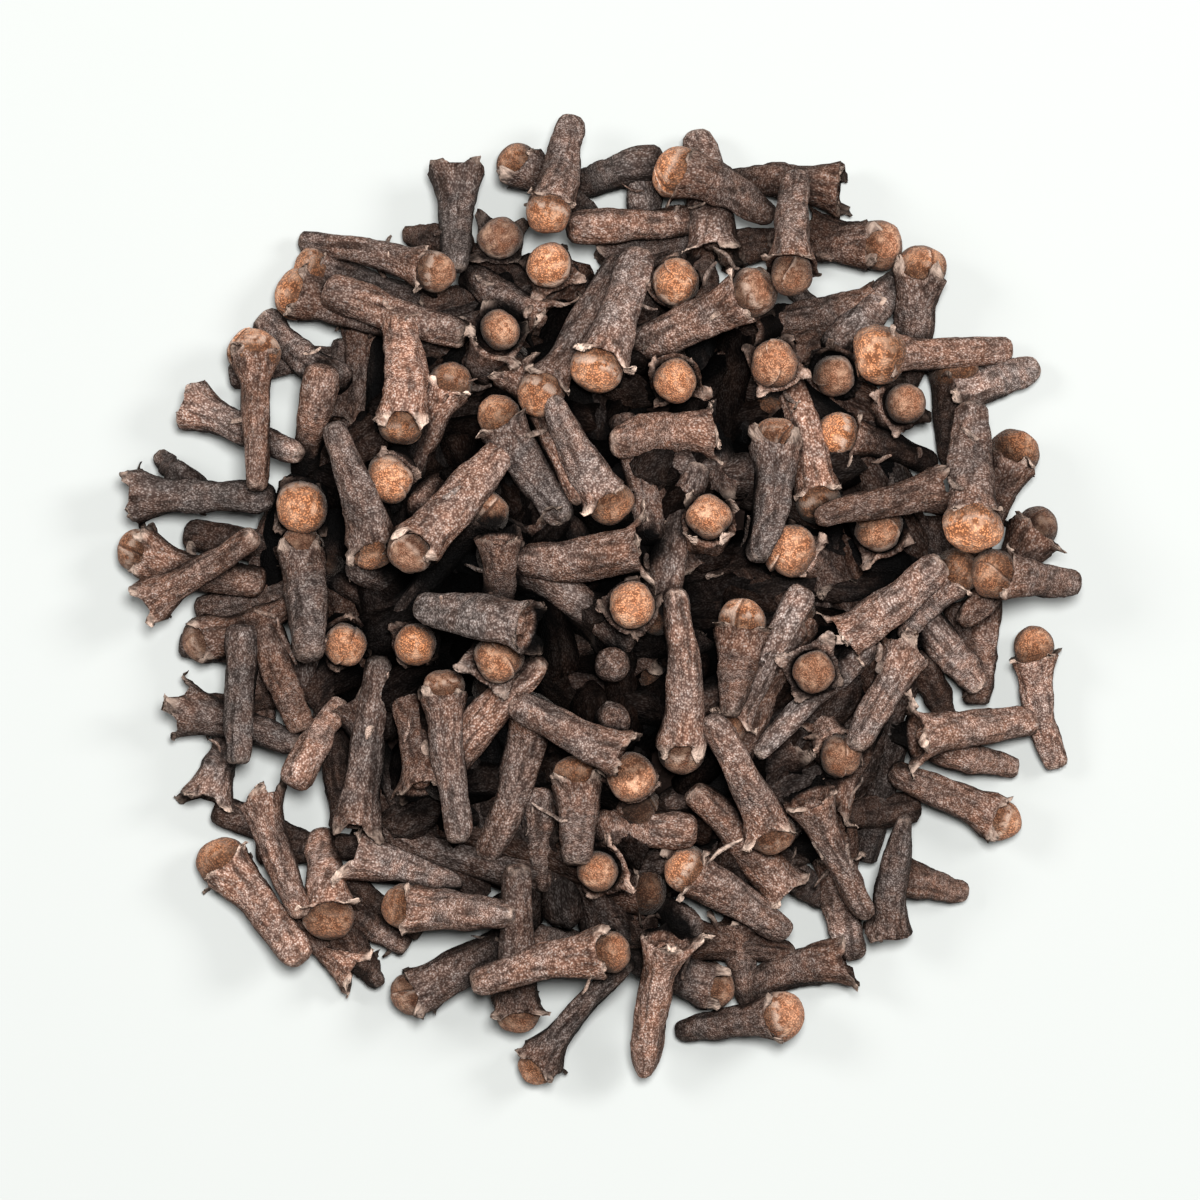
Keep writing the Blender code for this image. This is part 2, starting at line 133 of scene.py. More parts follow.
def coverTop(top, tail, head, radii):
    # a clove covers the grid as a row of balls along its axis
    for step, radius in zip(np.linspace(0, 1, layout["samples"]), radii):
        x, y, z = tail + step * (head - tail)
        firstX, lastX = gridCell(np.array((x - radius, x + radius)))
        firstY, lastY = gridCell(np.array((y - radius, y + radius)))
        window = (slice(firstX, lastX + 1), slice(firstY, lastY + 1))
        offX = gridLine[window[0]][:, None] - x
        offY = gridLine[window[1]][None, :] - y
        inside = radius ** 2 - offX ** 2 - offY ** 2
        ball = np.where(inside > 0, z + np.sqrt(np.maximum(inside, 0)), 0)
        top[window] = np.maximum(top[window], ball)


def cloveRadii(kind, size):
    marks, names = {
        "bud": ((0, layout["neckStep"], layout["budStep"], 1),
                ("tailRadius", "neckRadius", "budRadius", "budRadius")),
        "filler": ((0, 1), ("tailRadius", "fillerRadius")),
        "open": ((0, layout["neckStep"], 1), ("tailRadius", "neckRadius", "openRadius")),
        "stalk": ((0, 1), ("tailRadius", "stalkRadius")),
    }[kind]
    radii = [layout[name] for name in names]
    return size * np.interp(np.linspace(0, 1, layout["samples"]), marks, radii)


def restingHeights(top, tail, head, radii):
    steps = np.linspace(0, 1, layout["samples"])
    runX, runY = head[0] - tail[0], head[1] - tail[1]
    plan = math.sqrt(runX ** 2 + runY ** 2)
    need = np.zeros(layout["samples"])
    for share in layout["contactShares"]:
        x = tail[0] + steps * runX - share * radii * runY / plan
        y = tail[1] + steps * runY + share * radii * runX / plan
        need = np.maximum(need, topAt(top, x, y) + radii * math.sqrt(1 - share ** 2))
    gap = layout["tableGap"]
    if plan < layout["standingShare"] * layout["length"]:  # stands on its tail, head up
        rise = math.sqrt(layout["length"] ** 2 - plan ** 2)
        upper = steps > layout["standingContact"]
        start = np.max(need[upper] - rise * steps[upper]) - layout["standingSink"]
        end = max(start + rise, radii[-1] + gap)
        return max(start, radii[0] + gap), end
    level, rise = -1, 0
    for lower in np.flatnonzero(steps <= layout["balance"]):
        for upper in np.flatnonzero(steps > layout["balance"]):
            slope = (need[upper] - need[lower]) / (steps[upper] - steps[lower])
            found = need[lower] + slope * (layout["balance"] - steps[lower])
            if found > level:
                level, rise = found, slope
    steepest = plan * math.tan(layout["steepestLie"])
    rise = min(max(rise, -steepest), steepest)
    start = np.max(need - rise * steps) - layout["sink"]
    start += max(0, np.max(radii + gap - start - rise * steps))
    return start, start + rise


def layClove(top, kind, size, tail, head):
    radii = cloveRadii(kind, size)
    tailHeight, headHeight = restingHeights(top, tail, head, radii)
    tail = np.array((tail[0], tail[1], round(float(tailHeight), 5)))
    head = np.array((head[0], head[1], round(float(headHeight), 5)))
    coverTop(top, tail, head, radii)
    return kind, size, tail, head


def shownCloves(draw):
    shown = []
    for kind, rows in places:
        for row in rows:
            size = 1 + layout["sizeSpread"] * (2 * draw.random() - 1)
            head, tail = np.array(row[:2]) * mm, np.array(row[2:4]) * mm
            share = min(layout["longestInset"], layout["roundEnd"] / math.dist(head, tail))
            inset = (head - tail) * share
            tail = tail + inset
            if kind == "stalk":
                head = head - inset
            shown.append((kind, size, tail, head))
    return shown


def markCovered(cover, kind, size, tail, head):
    coverTop(cover, np.array((*tail, 0)), np.array((*head, 0)), cloveRadii(kind, size))


def heading(angle):
    return np.array((math.cos(angle), math.sin(angle)))


def randomPlace(draw, reach):
    radius = reach * math.sqrt(draw.random())
    middle = radius * heading(math.tau * draw.random())
    half = 0.5 * layout["length"] * heading(math.tau * draw.random())
    return middle - half, middle + half


def footprint(tail, head):
    steps = np.linspace(0, 1, layout["samples"])
    return tail[0] + steps * (head[0] - tail[0]), tail[1] + steps * (head[1] - tail[1])


def barestPlace(draw, cover, tries, reach, fits=lambda place: True):
    # of several random places, the one that covers the most bare cells
    most, best = -1, None
    for _ in range(tries):
        place = randomPlace(draw, reach)
        if max(math.hypot(*end) for end in place) < reach and fits(place):
            bare = np.count_nonzero(topAt(cover, *footprint(*place)) <= 0)
            if bare > most:
                most, best = bare, place
    return best


def fillerCloves(cover, draw):
    fillers = []
    for _ in range(layout["fillerCount"]):
        best = barestPlace(draw, cover, layout["fillerTries"], layout["fillerReach"])
        fillers.append(("filler", layout["fillerSize"], *best))
        markCovered(cover, *fillers[-1])
    return fillers


draw = random.Random(layout["seed"])
heapTop = bareTop(True)
shown = shownCloves(draw)
shownCover = bareTop(False)
for piece in shown:
    markCovered(shownCover, *piece)
laid = [layClove(heapTop, *piece) for piece in fillerCloves(shownCover.copy(), draw) + shown]
rolls = [layout["levelRoll"] + layout["rollSpread"] * (2 * draw.random() - 1) for _ in laid]
print("laid", len(laid), "cloves, top at", round(float(heapTop.max()) / mm, 1), "mm")


def selectOnly(*pieces):
    bpy.ops.object.select_all(action="DESELECT")
    for piece in pieces:
        piece.select_set(True)
    if pieces:
        bpy.context.view_layer.objects.active = pieces[0]


def leaveEdit(body):
    # all faces point outwards
    bpy.ops.mesh.select_all(action="SELECT")
    bpy.ops.mesh.normals_make_consistent(inside=False)
    bpy.ops.object.mode_set(mode="OBJECT")
    return body


def drawnUp(name, sides, profile):
    # a round body drawn up ring by ring from its lower end; radius and height in mm
    selectOnly()
    radius, height = profile[0]
    bpy.ops.mesh.primitive_circle_add(vertices=sides, radius=radius * mm, fill_type="NGON",
                                      location=(0, 0, height * mm))
    body = bpy.context.object
    body.name = name
    bpy.ops.object.transform_apply(location=True, rotation=False, scale=False)
    bpy.ops.object.mode_set(mode="EDIT")
    bpy.ops.mesh.select_all(action="SELECT")
    for (lastRadius, lastHeight), (radius, height) in zip(profile, profile[1:]):
        step = (0, 0, (height - lastHeight) * mm)
        bpy.ops.mesh.extrude_region_move(TRANSFORM_OT_translate={"value": step})
        grow = radius / lastRadius
        bpy.ops.transform.resize(value=(grow, grow, 1), center_override=(0, 0, height * mm))
    return leaveEdit(body)


def ringHeights(profile, spacing):
    # the same outline with rings about as far apart as the spacing
    rings = []
    for (radius, height), (nextRadius, nextHeight) in zip(profile, profile[1:]):
        parts = max(1, round(abs(nextHeight - height) / spacing))
        for part in range(parts):
            share = part / parts
            rings.append((radius + share * (nextRadius - radius), height + share * (nextHeight - height)))
    return rings + [profile[-1]]


# Where a calyx lobe grows out of the rim
lobeRoot = {"count": 4, "halfAngle": math.radians(31), "offRim": 0.12 * mm, "levelFace": 0.6}


def selectRim(body, height, middle):
    # the upward faces of the rim on one side
    mesh = bmesh.from_edit_mesh(body.data)
    bpy.ops.mesh.select_all(action="DESELECT")
    for face in mesh.faces:
        centre = face.calc_center_median()
        turn = (math.atan2(centre.y, centre.x) - middle + math.pi) % math.tau - math.pi
        onRim = abs(centre.z - height * mm) < lobeRoot["offRim"] and abs(turn) < lobeRoot["halfAngle"]
        if onRim and len(face.verts) == 4 and abs(face.normal.z) > lobeRoot["levelFace"]:
            face.select_set(True)
    bmesh.update_edit_mesh(body.data)


def selectedMiddle(body):
    mesh = bmesh.from_edit_mesh(body.data)
    chosen = [vertex.co for vertex in mesh.verts if vertex.select]
    return sum(chosen, Vector()) / len(chosen)


def drawLobes(body, rimHeight, steps):
    # each calyx lobe is drawn out of the rim; steps are outward, up, narrower and thinner
    selectOnly(body)
    bpy.ops.object.mode_set(mode="EDIT")
    bpy.ops.mesh.select_mode(type="FACE")
    for lobe in range(lobeRoot["count"]):
        middle = lobe * math.tau / lobeRoot["count"]
        selectRim(body, rimHeight, middle)
        for outward, up, narrow, thin in steps:
            step = (*(outward * mm * heading(middle)), up * mm)
            bpy.ops.mesh.extrude_region_move(TRANSFORM_OT_translate={"value": step})
            scale = (thin, narrow, 1) if lobe % 2 == 0 else (narrow, thin, 1)
            bpy.ops.transform.resize(value=scale, center_override=selectedMiddle(body))
    return leaveEdit(body)


# Stem and calyx of a clove that has its bud
stemShape = {
    "sides": 24, "spacing": 0.62,
    "outline": ((0.4, -1.12), (0.75, -1.04), (1.08, -0.8), (1.32, -0.35), (1.46, 0.4), (1.58, 2.5),
                (1.7, 5.5), (1.78, 8), (1.84, 9.8), (1.98, 10.9), (2.2, 11.7), (2.38, 12.3)),
    "cup": ((1.95, 12.34), (1.75, 11.9), (0.7, 11.7)),
    "rim": 12.32,
    "lobes": {
        "spread": ((0.45, 0.2, 0.72, 0.8), (0.48, 0.12, 0.75, 0.8), (0.4, 0.02, 0.75, 0.8),
                   (0.2, -0.12, 0.5, 0.6)),
        "hugging": ((0.34, 0.3, 0.72, 0.8), (0.18, 0.45, 0.75, 0.8), (0.04, 0.45, 0.75, 0.8),
                    (-0.04, 0.3, 0.5, 0.6)),
        "curled": ((0.4, 0.28, 0.7, 0.8), (0.36, 0.34, 0.72, 0.75), (0.38, 0.08, 0.75, 0.75),
                   (0.16, -0.28, 0.55, 0.6)),
    },
}

# Stem whose bud is gone: the lobes stand round a hollow
openShape = {
    "sides": 24, "spacing": 0.62,
    "outline": ((0.4, -1.12), (0.75, -1.04), (1.08, -0.8), (1.32, -0.35), (1.46, 0.4), (1.58, 3),
                (1.66, 6), (1.72, 8.5), (1.82, 10.4), (2.06, 11.8), (2.42, 12.7)),
    "cup": ((1.98, 12.76), (1.76, 12.4), (1.4, 12.05), (0.88, 11.95), (0.7, 12.45), (0.35, 12.6)),
    "rim": 12.73,
    "lobes": {
        "long": ((0.3, 0.36, 0.8, 0.85), (0.5, 0.38, 0.8, 0.8), (0.6, 0.3, 0.8, 0.8),
                 (0.5, 0.06, 0.7, 0.7), (0.2, -0.2, 0.5, 0.6)),
        "wide": ((0.32, 0.3, 0.75, 0.85), (0.44, 0.28, 0.75, 0.8), (0.42, 0.12, 0.75, 0.8),
                 (0.24, -0.05, 0.5, 0.6)),
        "upright": ((0.06, 0.42, 0.78, 0.85), (0.14, 0.42, 0.75, 0.8), (0.2, 0.32, 0.7, 0.8),
                    (0.14, 0.2, 0.5, 0.6)),
        "short": ((0.2, 0.3, 0.8, 0.8), (0.24, 0.2, 0.7, 0.8), (0.16, 0.06, 0.6, 0.7)),
    },
}

stalkShape = {
    "sides": 20, "spacing": 0.7,
    "outline": ((0.5, -1.1), (0.95, -1.05), (1.28, -0.8), (1.42, -0.3), (1.5, 0.5), (1.55, 4),
                (1.6, 8), (1.68, 11), (1.7, 12.4), (1.62, 13.2), (1.45, 13.8), (1.05, 14.15),
                (0.5, 14.22)),
}

hiddenShape = {
    "sides": 8,
    "outline": ((0.8, -1), (1.4, -0.4), (1.6, 4), (1.9, 10), (2.3, 12), (2.3, 13.6), (1.5, 15),
                (0.5, 15.4)),
}


def cupped(name, shape, lobeName):
    rings = ringHeights(shape["outline"], shape["spacing"]) + list(shape["cup"])
    return drawLobes(drawnUp(name, shape["sides"], rings), shape["rim"], shape["lobes"][lobeName])


stems = {look: cupped("stem_" + look, stemShape, look) for look in stemShape["lobes"]}
opens = {look: cupped("open_" + look, openShape, look) for look in openShape["lobes"]}
stalk = drawnUp("stalkBase", stalkShape["sides"], ringHeights(stalkShape["outline"], stalkShape["spacing"]))
hidden = drawnUp("hiddenBase", hiddenShape["sides"], hiddenShape["outline"])
print("modelled the stems and calyxes")

# Bud: four petals wrapped into a ball, each over the next
budShape = {
    "radius": 2.4 * mm, "segments": 32, "rings": 18,
    "looks": {  # twist, steps of the four petals' edges in mm, squareness, flat top, height
        "plain": (0.35, (0.05, 0.02, 0.06, 0.02), 0.02, 0.0, 0.97),
        "wrapped": (0.9, (0.26, 0.05, 0.12, 0.04), 0.03, 0.05, 0.95),
        "seamed": (0.15, (0.2, 0.02, 0.14, 0.02), 0.04, 0.08, 0.93),
        "square": (0.1, (0.06, 0.03, 0.06, 0.03), 0.06, 0.12, 1.06),
        "tall": (0.3, (0.12, 0.06, 0.02, 0.1), 0.02, -0.1, 1.0),
        "lipped": (0.5, (0.36, 0.0, 0.04, 0.0), 0.03, 0.1, 0.92),
        "smooth": (0.2, (0.0, 0.02, 0.0, 0.02), 0.01, 0.05, 0.95),
    },
}


def budBall(name, twist, edgeSteps, square, flatTop, tall):
    selectOnly()
    bpy.ops.mesh.primitive_uv_sphere_add(segments=budShape["segments"], ring_count=budShape["rings"],
                                         radius=budShape["radius"])
    ball = bpy.context.object
    ball.name = "bud_" + name
    perPetal = budShape["segments"] // 4
    seam = []
    for vertex in ball.data.vertices:
        point = vertex.co
        across = math.hypot(point.x, point.y)
        polar = math.atan2(across, point.z)
        if across > 0.02 * mm:
            column = round(math.atan2(point.y, point.x) / math.tau * budShape["segments"])
            petal, part = divmod(column, perPetal)
            share = (part + 0.75 * (part > 0) * (part / perPetal)) / perPetal  # last column close to the edge
            share = min(share, 0.965) if part == perPetal - 1 else share * 0.97
            angle = (petal + share) * math.pi / 2 + twist * 2.2 * (1 - polar / math.pi) ** 2
            fade = min(1, polar / 0.5) * min(1, max(0, (2.6 - polar) / 0.6))
            edgeStep = edgeSteps[petal % 4]
            edgeRise = edgeStep * share ** 3 - 0.4 * edgeSteps[(petal - 1) % 4] * (1 - share) ** 4
            lift = 1 + edgeRise * fade * mm / budShape["radius"]
            lift *= 1 + square * math.cos(4 * (petal + share) * math.pi / 2 + math.pi)
            point.x = lift * across * math.cos(angle)
            point.y = lift * across * math.sin(angle)
            below = min(1, edgeSteps[(petal - 1) % 4] / 0.14) * fade
            above = min(1, edgeStep / 0.2) * fade
            seam.append(0.5 - 0.5 * below * (part == 0) + 0.5 * above * (part == perPetal - 1))
        else:
            seam.append(0.5)
        if point.z > 0:
            point.z *= tall * (1 - flatTop * (point.z / budShape["radius"]) ** 2)
    store = ball.data.attributes.new("seam", "FLOAT", "POINT")
    store.data.foreach_set("value", seam)
    return ball


buds = {look: budBall(look, *values) for look, values in budShape["looks"].items()}
print("modelled the buds")


def placedCopy(base, name):
    piece = base.copy()
    piece.data = base.data.copy()
    piece.name = name
    bpy.context.scene.collection.objects.link(piece)
    return piece


def readPoints(mesh):
    points = np.empty(len(mesh.vertices) * 3)
    mesh.vertices.foreach_get("co", points)
    return points.reshape(-1, 3)


def anywhere(dice, half=50):
    # a random shift of a pattern, so that no two cloves match
    return np.array([dice.uniform(-half, half) for _ in range(3)])


def noiseAt(points, scale, stretch=1.0, offset=(0, 0, 0)):
    # smooth noise over points in metres; the stretch draws it out along the stem
    return np.array([noise.noise(Vector((x * scale + offset[0], y * scale + offset[1],
                                         z * scale / stretch + offset[2]))) for x, y, z in points])


# How far one clove differs from the next
variety = {
    "seed": 29, "bend": 0.75, "oval": 0.1, "square": 0.045, "bulge": 0.1, "budLift": 0.1 * mm,
    "wrinkle": 0.27, "lump": 0.3, "fine": 0.1, "slimmest": 0.88, "widest": 1.12, "tailTaper": 0.24,
    "lobeSpread": 0.3, "lobeSide": 0.35, "lobeRough": 0.5, "lobeJags": 0.3,
    "lobeLost": {"bud": 0.1, "open": 0.22}, "lobeGrown": (-0.35, 0.25), "lobeStump": -0.75,
    "sideShade": 0.82, "topShade": 0.22,
}
rims = {"bud": stemShape["rim"] * mm, "open": openShape["rim"] * mm}


def straightClove(points, dice, lobed):
    # uneven shape of one clove, still along its own straight axis
    length = layout["length"]
    out = points.copy()
    across = np.hypot(out[:, 0], out[:, 1])
    angle = np.arctan2(out[:, 1], out[:, 0])
    low = np.clip((length - 1.2 * mm - out[:, 2]) / (2 * mm), 0, 1)  # the calyx keeps its form
    along = np.clip(out[:, 2] / length, 0, 1)
    offset = anywhere(dice)
    bulge = dice.uniform(-1, 1) * variety["bulge"]
    oval, ovalTurn = dice.uniform(0, 1) * variety["oval"], dice.uniform(0, math.pi)
    grow = 1 + low * (bulge * np.sin(math.pi * along) + oval * np.cos(2 * (angle - ovalTurn)))
    grow += low * variety["square"] * np.cos(4 * angle)
    grow *= 1 - low * (1 - dice.uniform(variety["slimmest"], variety["widest"]))
    grow *= 1 - dice.random() ** 1.5 * variety["tailTaper"] * (1 - along) ** 1.5
    wrinkle = noiseAt(out, 900, 6, offset) * variety["wrinkle"] * mm
    lump = noiseAt(out, 420, 1.4, offset) * variety["lump"] * mm
    fine = noiseAt(out, 2600, 1.3, offset) * variety["fine"] * mm
    bump = (wrinkle + lump) * (0.35 + 0.65 * low) + fine
    inner = np.clip((across - 0.4 * mm) / (0.6 * mm), 0, 1)
    out[:, :2] *= (grow + inner * bump / np.maximum(across, 0.5 * mm))[:, None]
    if not lobed:
        return out
    rim = rims[lobed]
    lift = np.clip((out[:, 2] - rim + 0.05 * mm) / (0.5 * mm), 0, 1) * (across > 1.6 * mm)
    lobe = np.rint(angle / math.tau * lobeRoot["count"]).astype(int) % lobeRoot["count"]
    for index in range(lobeRoot["count"]):
        mine = (lobe == index) * lift
        toward = heading(index * math.tau / lobeRoot["count"])
        grown = variety["lobeStump"]
        if dice.random() > variety["lobeLost"][lobed]:
            grown = dice.uniform(*variety["lobeGrown"])
        outward = dice.uniform(-1, 1) * variety["lobeSpread"]
        side = dice.uniform(-1, 1) * variety["lobeSide"]
        rise = np.clip((out[:, 2] - rim) / mm, -0.5, 2.5) + np.clip((across - 2.3 * mm) / mm, 0, 2)
        push = outward * toward + side * np.array((-toward[1], toward[0]))
        out[:, :2] += (mine * rise * mm)[:, None] * push
        out[:, 2] += mine * (out[:, 2] - rim) * grown
        pull = mine * np.clip((across - 2.1 * mm), 0, None) * min(0, grown)
        out[:, :2] += pull[:, None] * toward
    for column in range(3):
        shift = anywhere(dice)
        for scale, share in ((900, variety["lobeRough"]), (2500, variety["lobeJags"])):
            out[:, column] += lift * noiseAt(points, scale, 1, shift) * share * mm
    return out


def cloveFrame(clove, roll, points, bendBy, bendTurn):
    # straight clove points to their place in the heap; only the stem below the calyx is drawn out
    kind, size, tail, head = clove
    axis = Vector(head - tail)
    length, target = layout["length"], axis.length
    fixed = length - 3 * mm
    out = points.copy()
    out[:, :2] *= size
    along = points[:, 2]
    stretched = np.where(along < fixed, along * (target - 3 * mm * size) / fixed,
                         target + (along - length) * size)
    out[:, 2] = np.where(along < 0, along * size, stretched)
    share = np.clip(out[:, 2] / target, 0, 1)
    arch = bendBy * 4 * share * (1 - share)
    out[:, :2] += arch[:, None] * heading(bendTurn)
    turn = axis.to_track_quat("Z", "Y") @ Quaternion((0, 0, 1), roll)
    return out @ np.array(turn.to_matrix()).T + tail


# Painted shade: how much open sky a point of the heap sees darkens its colour, which leaves the gaps between
# the cloves dark
depth = {"directions": 16, "distances": (0.8, 1.5, 2.5, 4, 6, 9), "slack": 0.25 * mm,
         "hidden": 0.01, "openFrom": 0.39, "openTo": 0.83, "coveredBy": 1.2 * mm,
         "lowest": 0.06 * mm, "crown": 20.4 * mm, "crownShare": 0.6,
         "rimFrom": 31 * mm, "rimTo": 39 * mm, "rimLeast": 0.36}


def openness(points):
    found = np.zeros(len(points))
    x, y, z = points.T
    for turn in np.linspace(0, math.tau, depth["directions"], endpoint=False):
        steepest = np.zeros(len(points))
        for distance in depth["distances"]:
            reach = distance * mm
            rise = topAt(heapTop, x + reach * math.cos(turn), y + reach * math.sin(turn)) - z - depth["slack"]
            steepest = np.maximum(steepest, rise / reach)
        found += 1 / (1 + steepest ** 2)
    found /= depth["directions"]
    share = np.clip((found - depth["openFrom"]) / (depth["openTo"] - depth["openFrom"]), 0, 1)
    # painted shade: points under the heap's top are darker still
    under = np.clip((topAt(heapTop, x, y) - z) / depth["coveredBy"] - 1, 0, 1)
    share = share * share * (3 - 2 * share) * (1 - 0.55 * under)
    return depth["hidden"] + (1 - depth["hidden"]) * share


def sideShade(rise):
    # painted shade: the sides of a clove are darker than its upper face
    return np.clip(variety["sideShade"] + variety["topShade"] * rise / (1.8 * mm), 0.5, 1.05)


def writePoints(piece, points, rest, tint, least=0.0):
    mesh = piece.data
    # nothing dips below the table, and the highest cloves keep to the height of the solid heap
    crown = depth["crown"] + (points[:, 2] - depth["crown"]) * depth["crownShare"]
    points[:, 2] = np.clip(np.minimum(points[:, 2], crown), depth["lowest"], None)
    mesh.vertices.foreach_set("co", points.ravel())
    # painted light: at the rim the painted shade is lifted, as light comes in from the side there
    outer = np.hypot(points[:, 0], points[:, 1]) - depth["rimFrom"]
    sideLight = depth["rimLeast"] * np.clip(outer / (depth["rimTo"] - depth["rimFrom"]), 0, 1)
    # painted shade by open sky goes into the tint's alpha; least is painted light that a point keeps however
    # little sky it sees
    tint[:, 3] *= np.maximum(openness(points), np.maximum(sideLight, least))
    for name, kind, field, values in (("cloveCoord", "FLOAT_VECTOR", "vector", rest),
                                      ("tint", "FLOAT_COLOR", "color", tint)):
        mesh.attributes.new(name, kind, "POINT").data.foreach_set(field, values.ravel())
    mesh.update()


def tinted(count, *channels):
    # red is tone, green is how light the colour is, blue is pale edges, and alpha is painted shade
    filled = [np.broadcast_to(np.asarray(channel, dtype=float), count) for channel in channels]
    return np.stack(filled, axis=1)


def joined(pieces, name):
    selectOnly(*pieces)
    bpy.ops.object.join()
    whole = bpy.context.object
    whole.name = name
    whole.data.name = name
    return whole


# Buds that show clearly: x, y and width in mm, look, how brown and how bright
clearBuds = (
    (-0.3, 20.8, 4.7, "smooth", 0.1, 0.7), (13.1, -2.2, 4.7, "seamed", 0.2, 0.6),
    (2.6, -0.4, 4.2, "smooth", 0.3, 0.6), (22.4, 14.8, 4.2, "smooth", 0.0, 0.9),
    (17.4, 4.4, 4.8, "lipped", 0.35, 0.6), (25.6, 22.6, 5.3, "lipped", 0.1, 0.7),
    (33.8, 6.9, 5.2, "square", 0.0, 1.0), (-27.1, 8.7, 4.8, "smooth", 0.1, 0.5),
    (-27.1, 4.1, 4.3, "tall", 0.8, 0.5), (-22.6, -4, 4.1, "seamed", 0.3, 0.4),
    (-16.7, -3.6, 3.8, "plain", 0.0, 0.5), (-9, 16.9, 3.8, "tall", 0.2, 0.3),
    (-9.2, 24.6, 3.7, "plain", 0.5, 0.4), (-4.5, 30.8, 4.2, "smooth", 0.2, 0.7),
    (7, 39.1, 4.8, "lipped", 0.0, 0.9), (29.7, 30.5, 4.3, "seamed", 0.3, 0.5),
    (40.2, 6.7, 3.9, "tall", 1.0, 0.0), (-9.2, 33.2, 4.0, "plain", 1.0, 0.0),
    (-36, -3.3, 4.2, "plain", 0.9, 0.3), (19.7, -6.3, 3.8, "plain", 0.6, 0.1),
    (21.8, -14.2, 3.8, "seamed", 0.7, 0.0), (-7.5, 40, 3.9, "smooth", 0.3, 0.4),
    (7, 20, 4.0, "plain", 0.2, 0.6), (16, 21.5, 4.4, "wrapped", 0.5, 0.5),
    (-15, 30, 4.1, "plain", 0.6, 0.3), (25.1, 6, 4.4, "wrapped", 0.5, 0.3),
    (-31.5, 22.5, 4.9, "wrapped", 0.25, 0.7), (-27.5, 28, 4.8, "seamed", 0.1, 0.8),
)

# Cloves whose tone stands out: x and y of the middle in mm, how red and how bright
clearTones = (
    (-13.3, 36.2, 0, 0.05), (-38, 9.5, 0, 0.1), (-32.8, -8.3, 0.1, 0.15), (-22.6, 12.1, 0.3, 0.3),
    (-5.9, 12.1, 0, 0.2), (15.4, 9.3, 0.1, 0.25), (-26.3, -1.8, 0.2, 0.15), (-21.2, -13.9, 0.2, 0.25),
    (-10.5, -1.8, 0, 0.35), (-30.5, -21.3, 0.8, 0.6), (-21.2, 32.5, 0.6, 0.3), (5, 34.6, 0.9, 0.5),
    (6, 14.8, 1, 0.5), (5.2, -37, 0.9, 0.85), (-5.5, -33.5, 0.8, 0.5), (12.7, -15, 0.6, 0.6),
    (27, 0, 0.6, 0.75), (34, -12, 0.75, 0.65), (7.5, -6, 0.6, 0.6), (2, 26, 0.3, 0.6),
    (-37, 2.8, 0.85, 0.4), (17.8, 34.4, 0.5, 0.4), (-18, 26, 0.8, 0.35), (-3.5, 40, 0.4, 0.5),
    (-9, -24, 0.6, 0.3), (31, 23, 0.9, 0.6), (-20, -12, 0.2, 0.3), (23, -18, 0, 0.2),
    (1.5, -6.5, 0.5, 0.05), (0.3, -9, 0.5, 0.1), (4, -20.7, 0.8, 0.5), (12.7, -27.5, 0.6, 0.4),
    (-2, -20, 0.5, 0.35), (-5.2, -21.5, 0.5, 0.4), (-1.3, -37.5, 0.2, 0), (11.8, -38.8, 0.3, 0),
    (2, 39.3, 0.1, 0), (18.3, -34.3, 0.6, 0.1),
)

# Heads of the open cloves whose lobes are long, x and y in mm
longLobed = (
    (10.5, 15), (4, 5), (28.5, -12.5), (22, -3.5), (6.5, -30.5), (-4.5, 25), (-31, -18), (28, -4.5),
    (32.5, 18.5), (-38, -10),
)

# Cloves low under the rim, head and tail in mm
rimPlaces = (
    (25.5, 27, 16.5, 25.5), (23, 23.5, 18, 28.5), (11, 32, 18, 33), (19, 34, 26, 33),
    (-21.5, 25, -22.5, 14), (-33, 20.7, -24, 22), (-37, 6, -28, 4.5), (-30.5, 0, -29.5, 8),
    (-31.3, -5, -30.5, -11), (-22.5, -20.5, -24.3, -13), (-30.5, -22.8, -21.5, -22.5),
    (-34.5, -19.3, -27.5, -22), (-23.5, -25.5, -17, -30), (-24, -30, -20.5, -34.5),
    (-8, -30.5, -1, -31.5), (8, -31, 17, -32.2), (12.5, -29, 13.5, -36.5), (21.8, -23.5, 23.2, -32),
    (27.2, -12, 24.5, -23), (28.5, -19, 21, -19.5), (29.5, -5.5, 32, -11), (32.6, 21, 32.6, 12),
    (-26, 30.3, -15.5, 27.3), (0, 32, 8, 32.5), (33, -1, 35, -7), (-36, -0.8, -29, 0.8),
    (20, -16, 22.5, -26), (30.5, 8, 30, -1), (16.3, -24, 20.2, -27), (-16, 26.5, -10, 28.5),
    (9.2, 26, 9.8, 31), (-24, 16, -23.5, 23), (3.5, -28, 3.2, -33), (-37.5, -4, -31, -5),
    (-36.5, -10.5, -30, -9), (17.5, 22.5, 21.5, 24.5), (-11.5, 31.5, -6, 29),
)
lowLayer = {
    "seed": 23, "count": 44, "tries": 40, "reach": 31 * mm, "lift": -0.3 * mm, "spread": 1.4 * mm,
    "rimHeight": 2.0 * mm, "kinds": ("stalk", "filler", "open", "stalk", "open"),
    "rimSizes": (0.84, 0.94), "gapSizes": (0.88, 1.0), "rimShade": (0.5, 1.0), "gapShade": (0.08, 0.55),
    "rimLeast": 0.45, "spotClear": 4 * mm,
    "openSpots": ((-28, 17.8), (-26.2, -18.1), (19.2, -29.5), (24.7, -25.9), (29.7, 16), (-25.5, 23.7)),
}


def clearOfSpots(place):
    # the floor shows through the heap at a few spots near its rim
    x, y = footprint(*place)
    return all(np.min(np.hypot(x - spotX * mm, y - spotY * mm)) > lowLayer["spotClear"]
               for spotX, spotY in lowLayer["openSpots"])


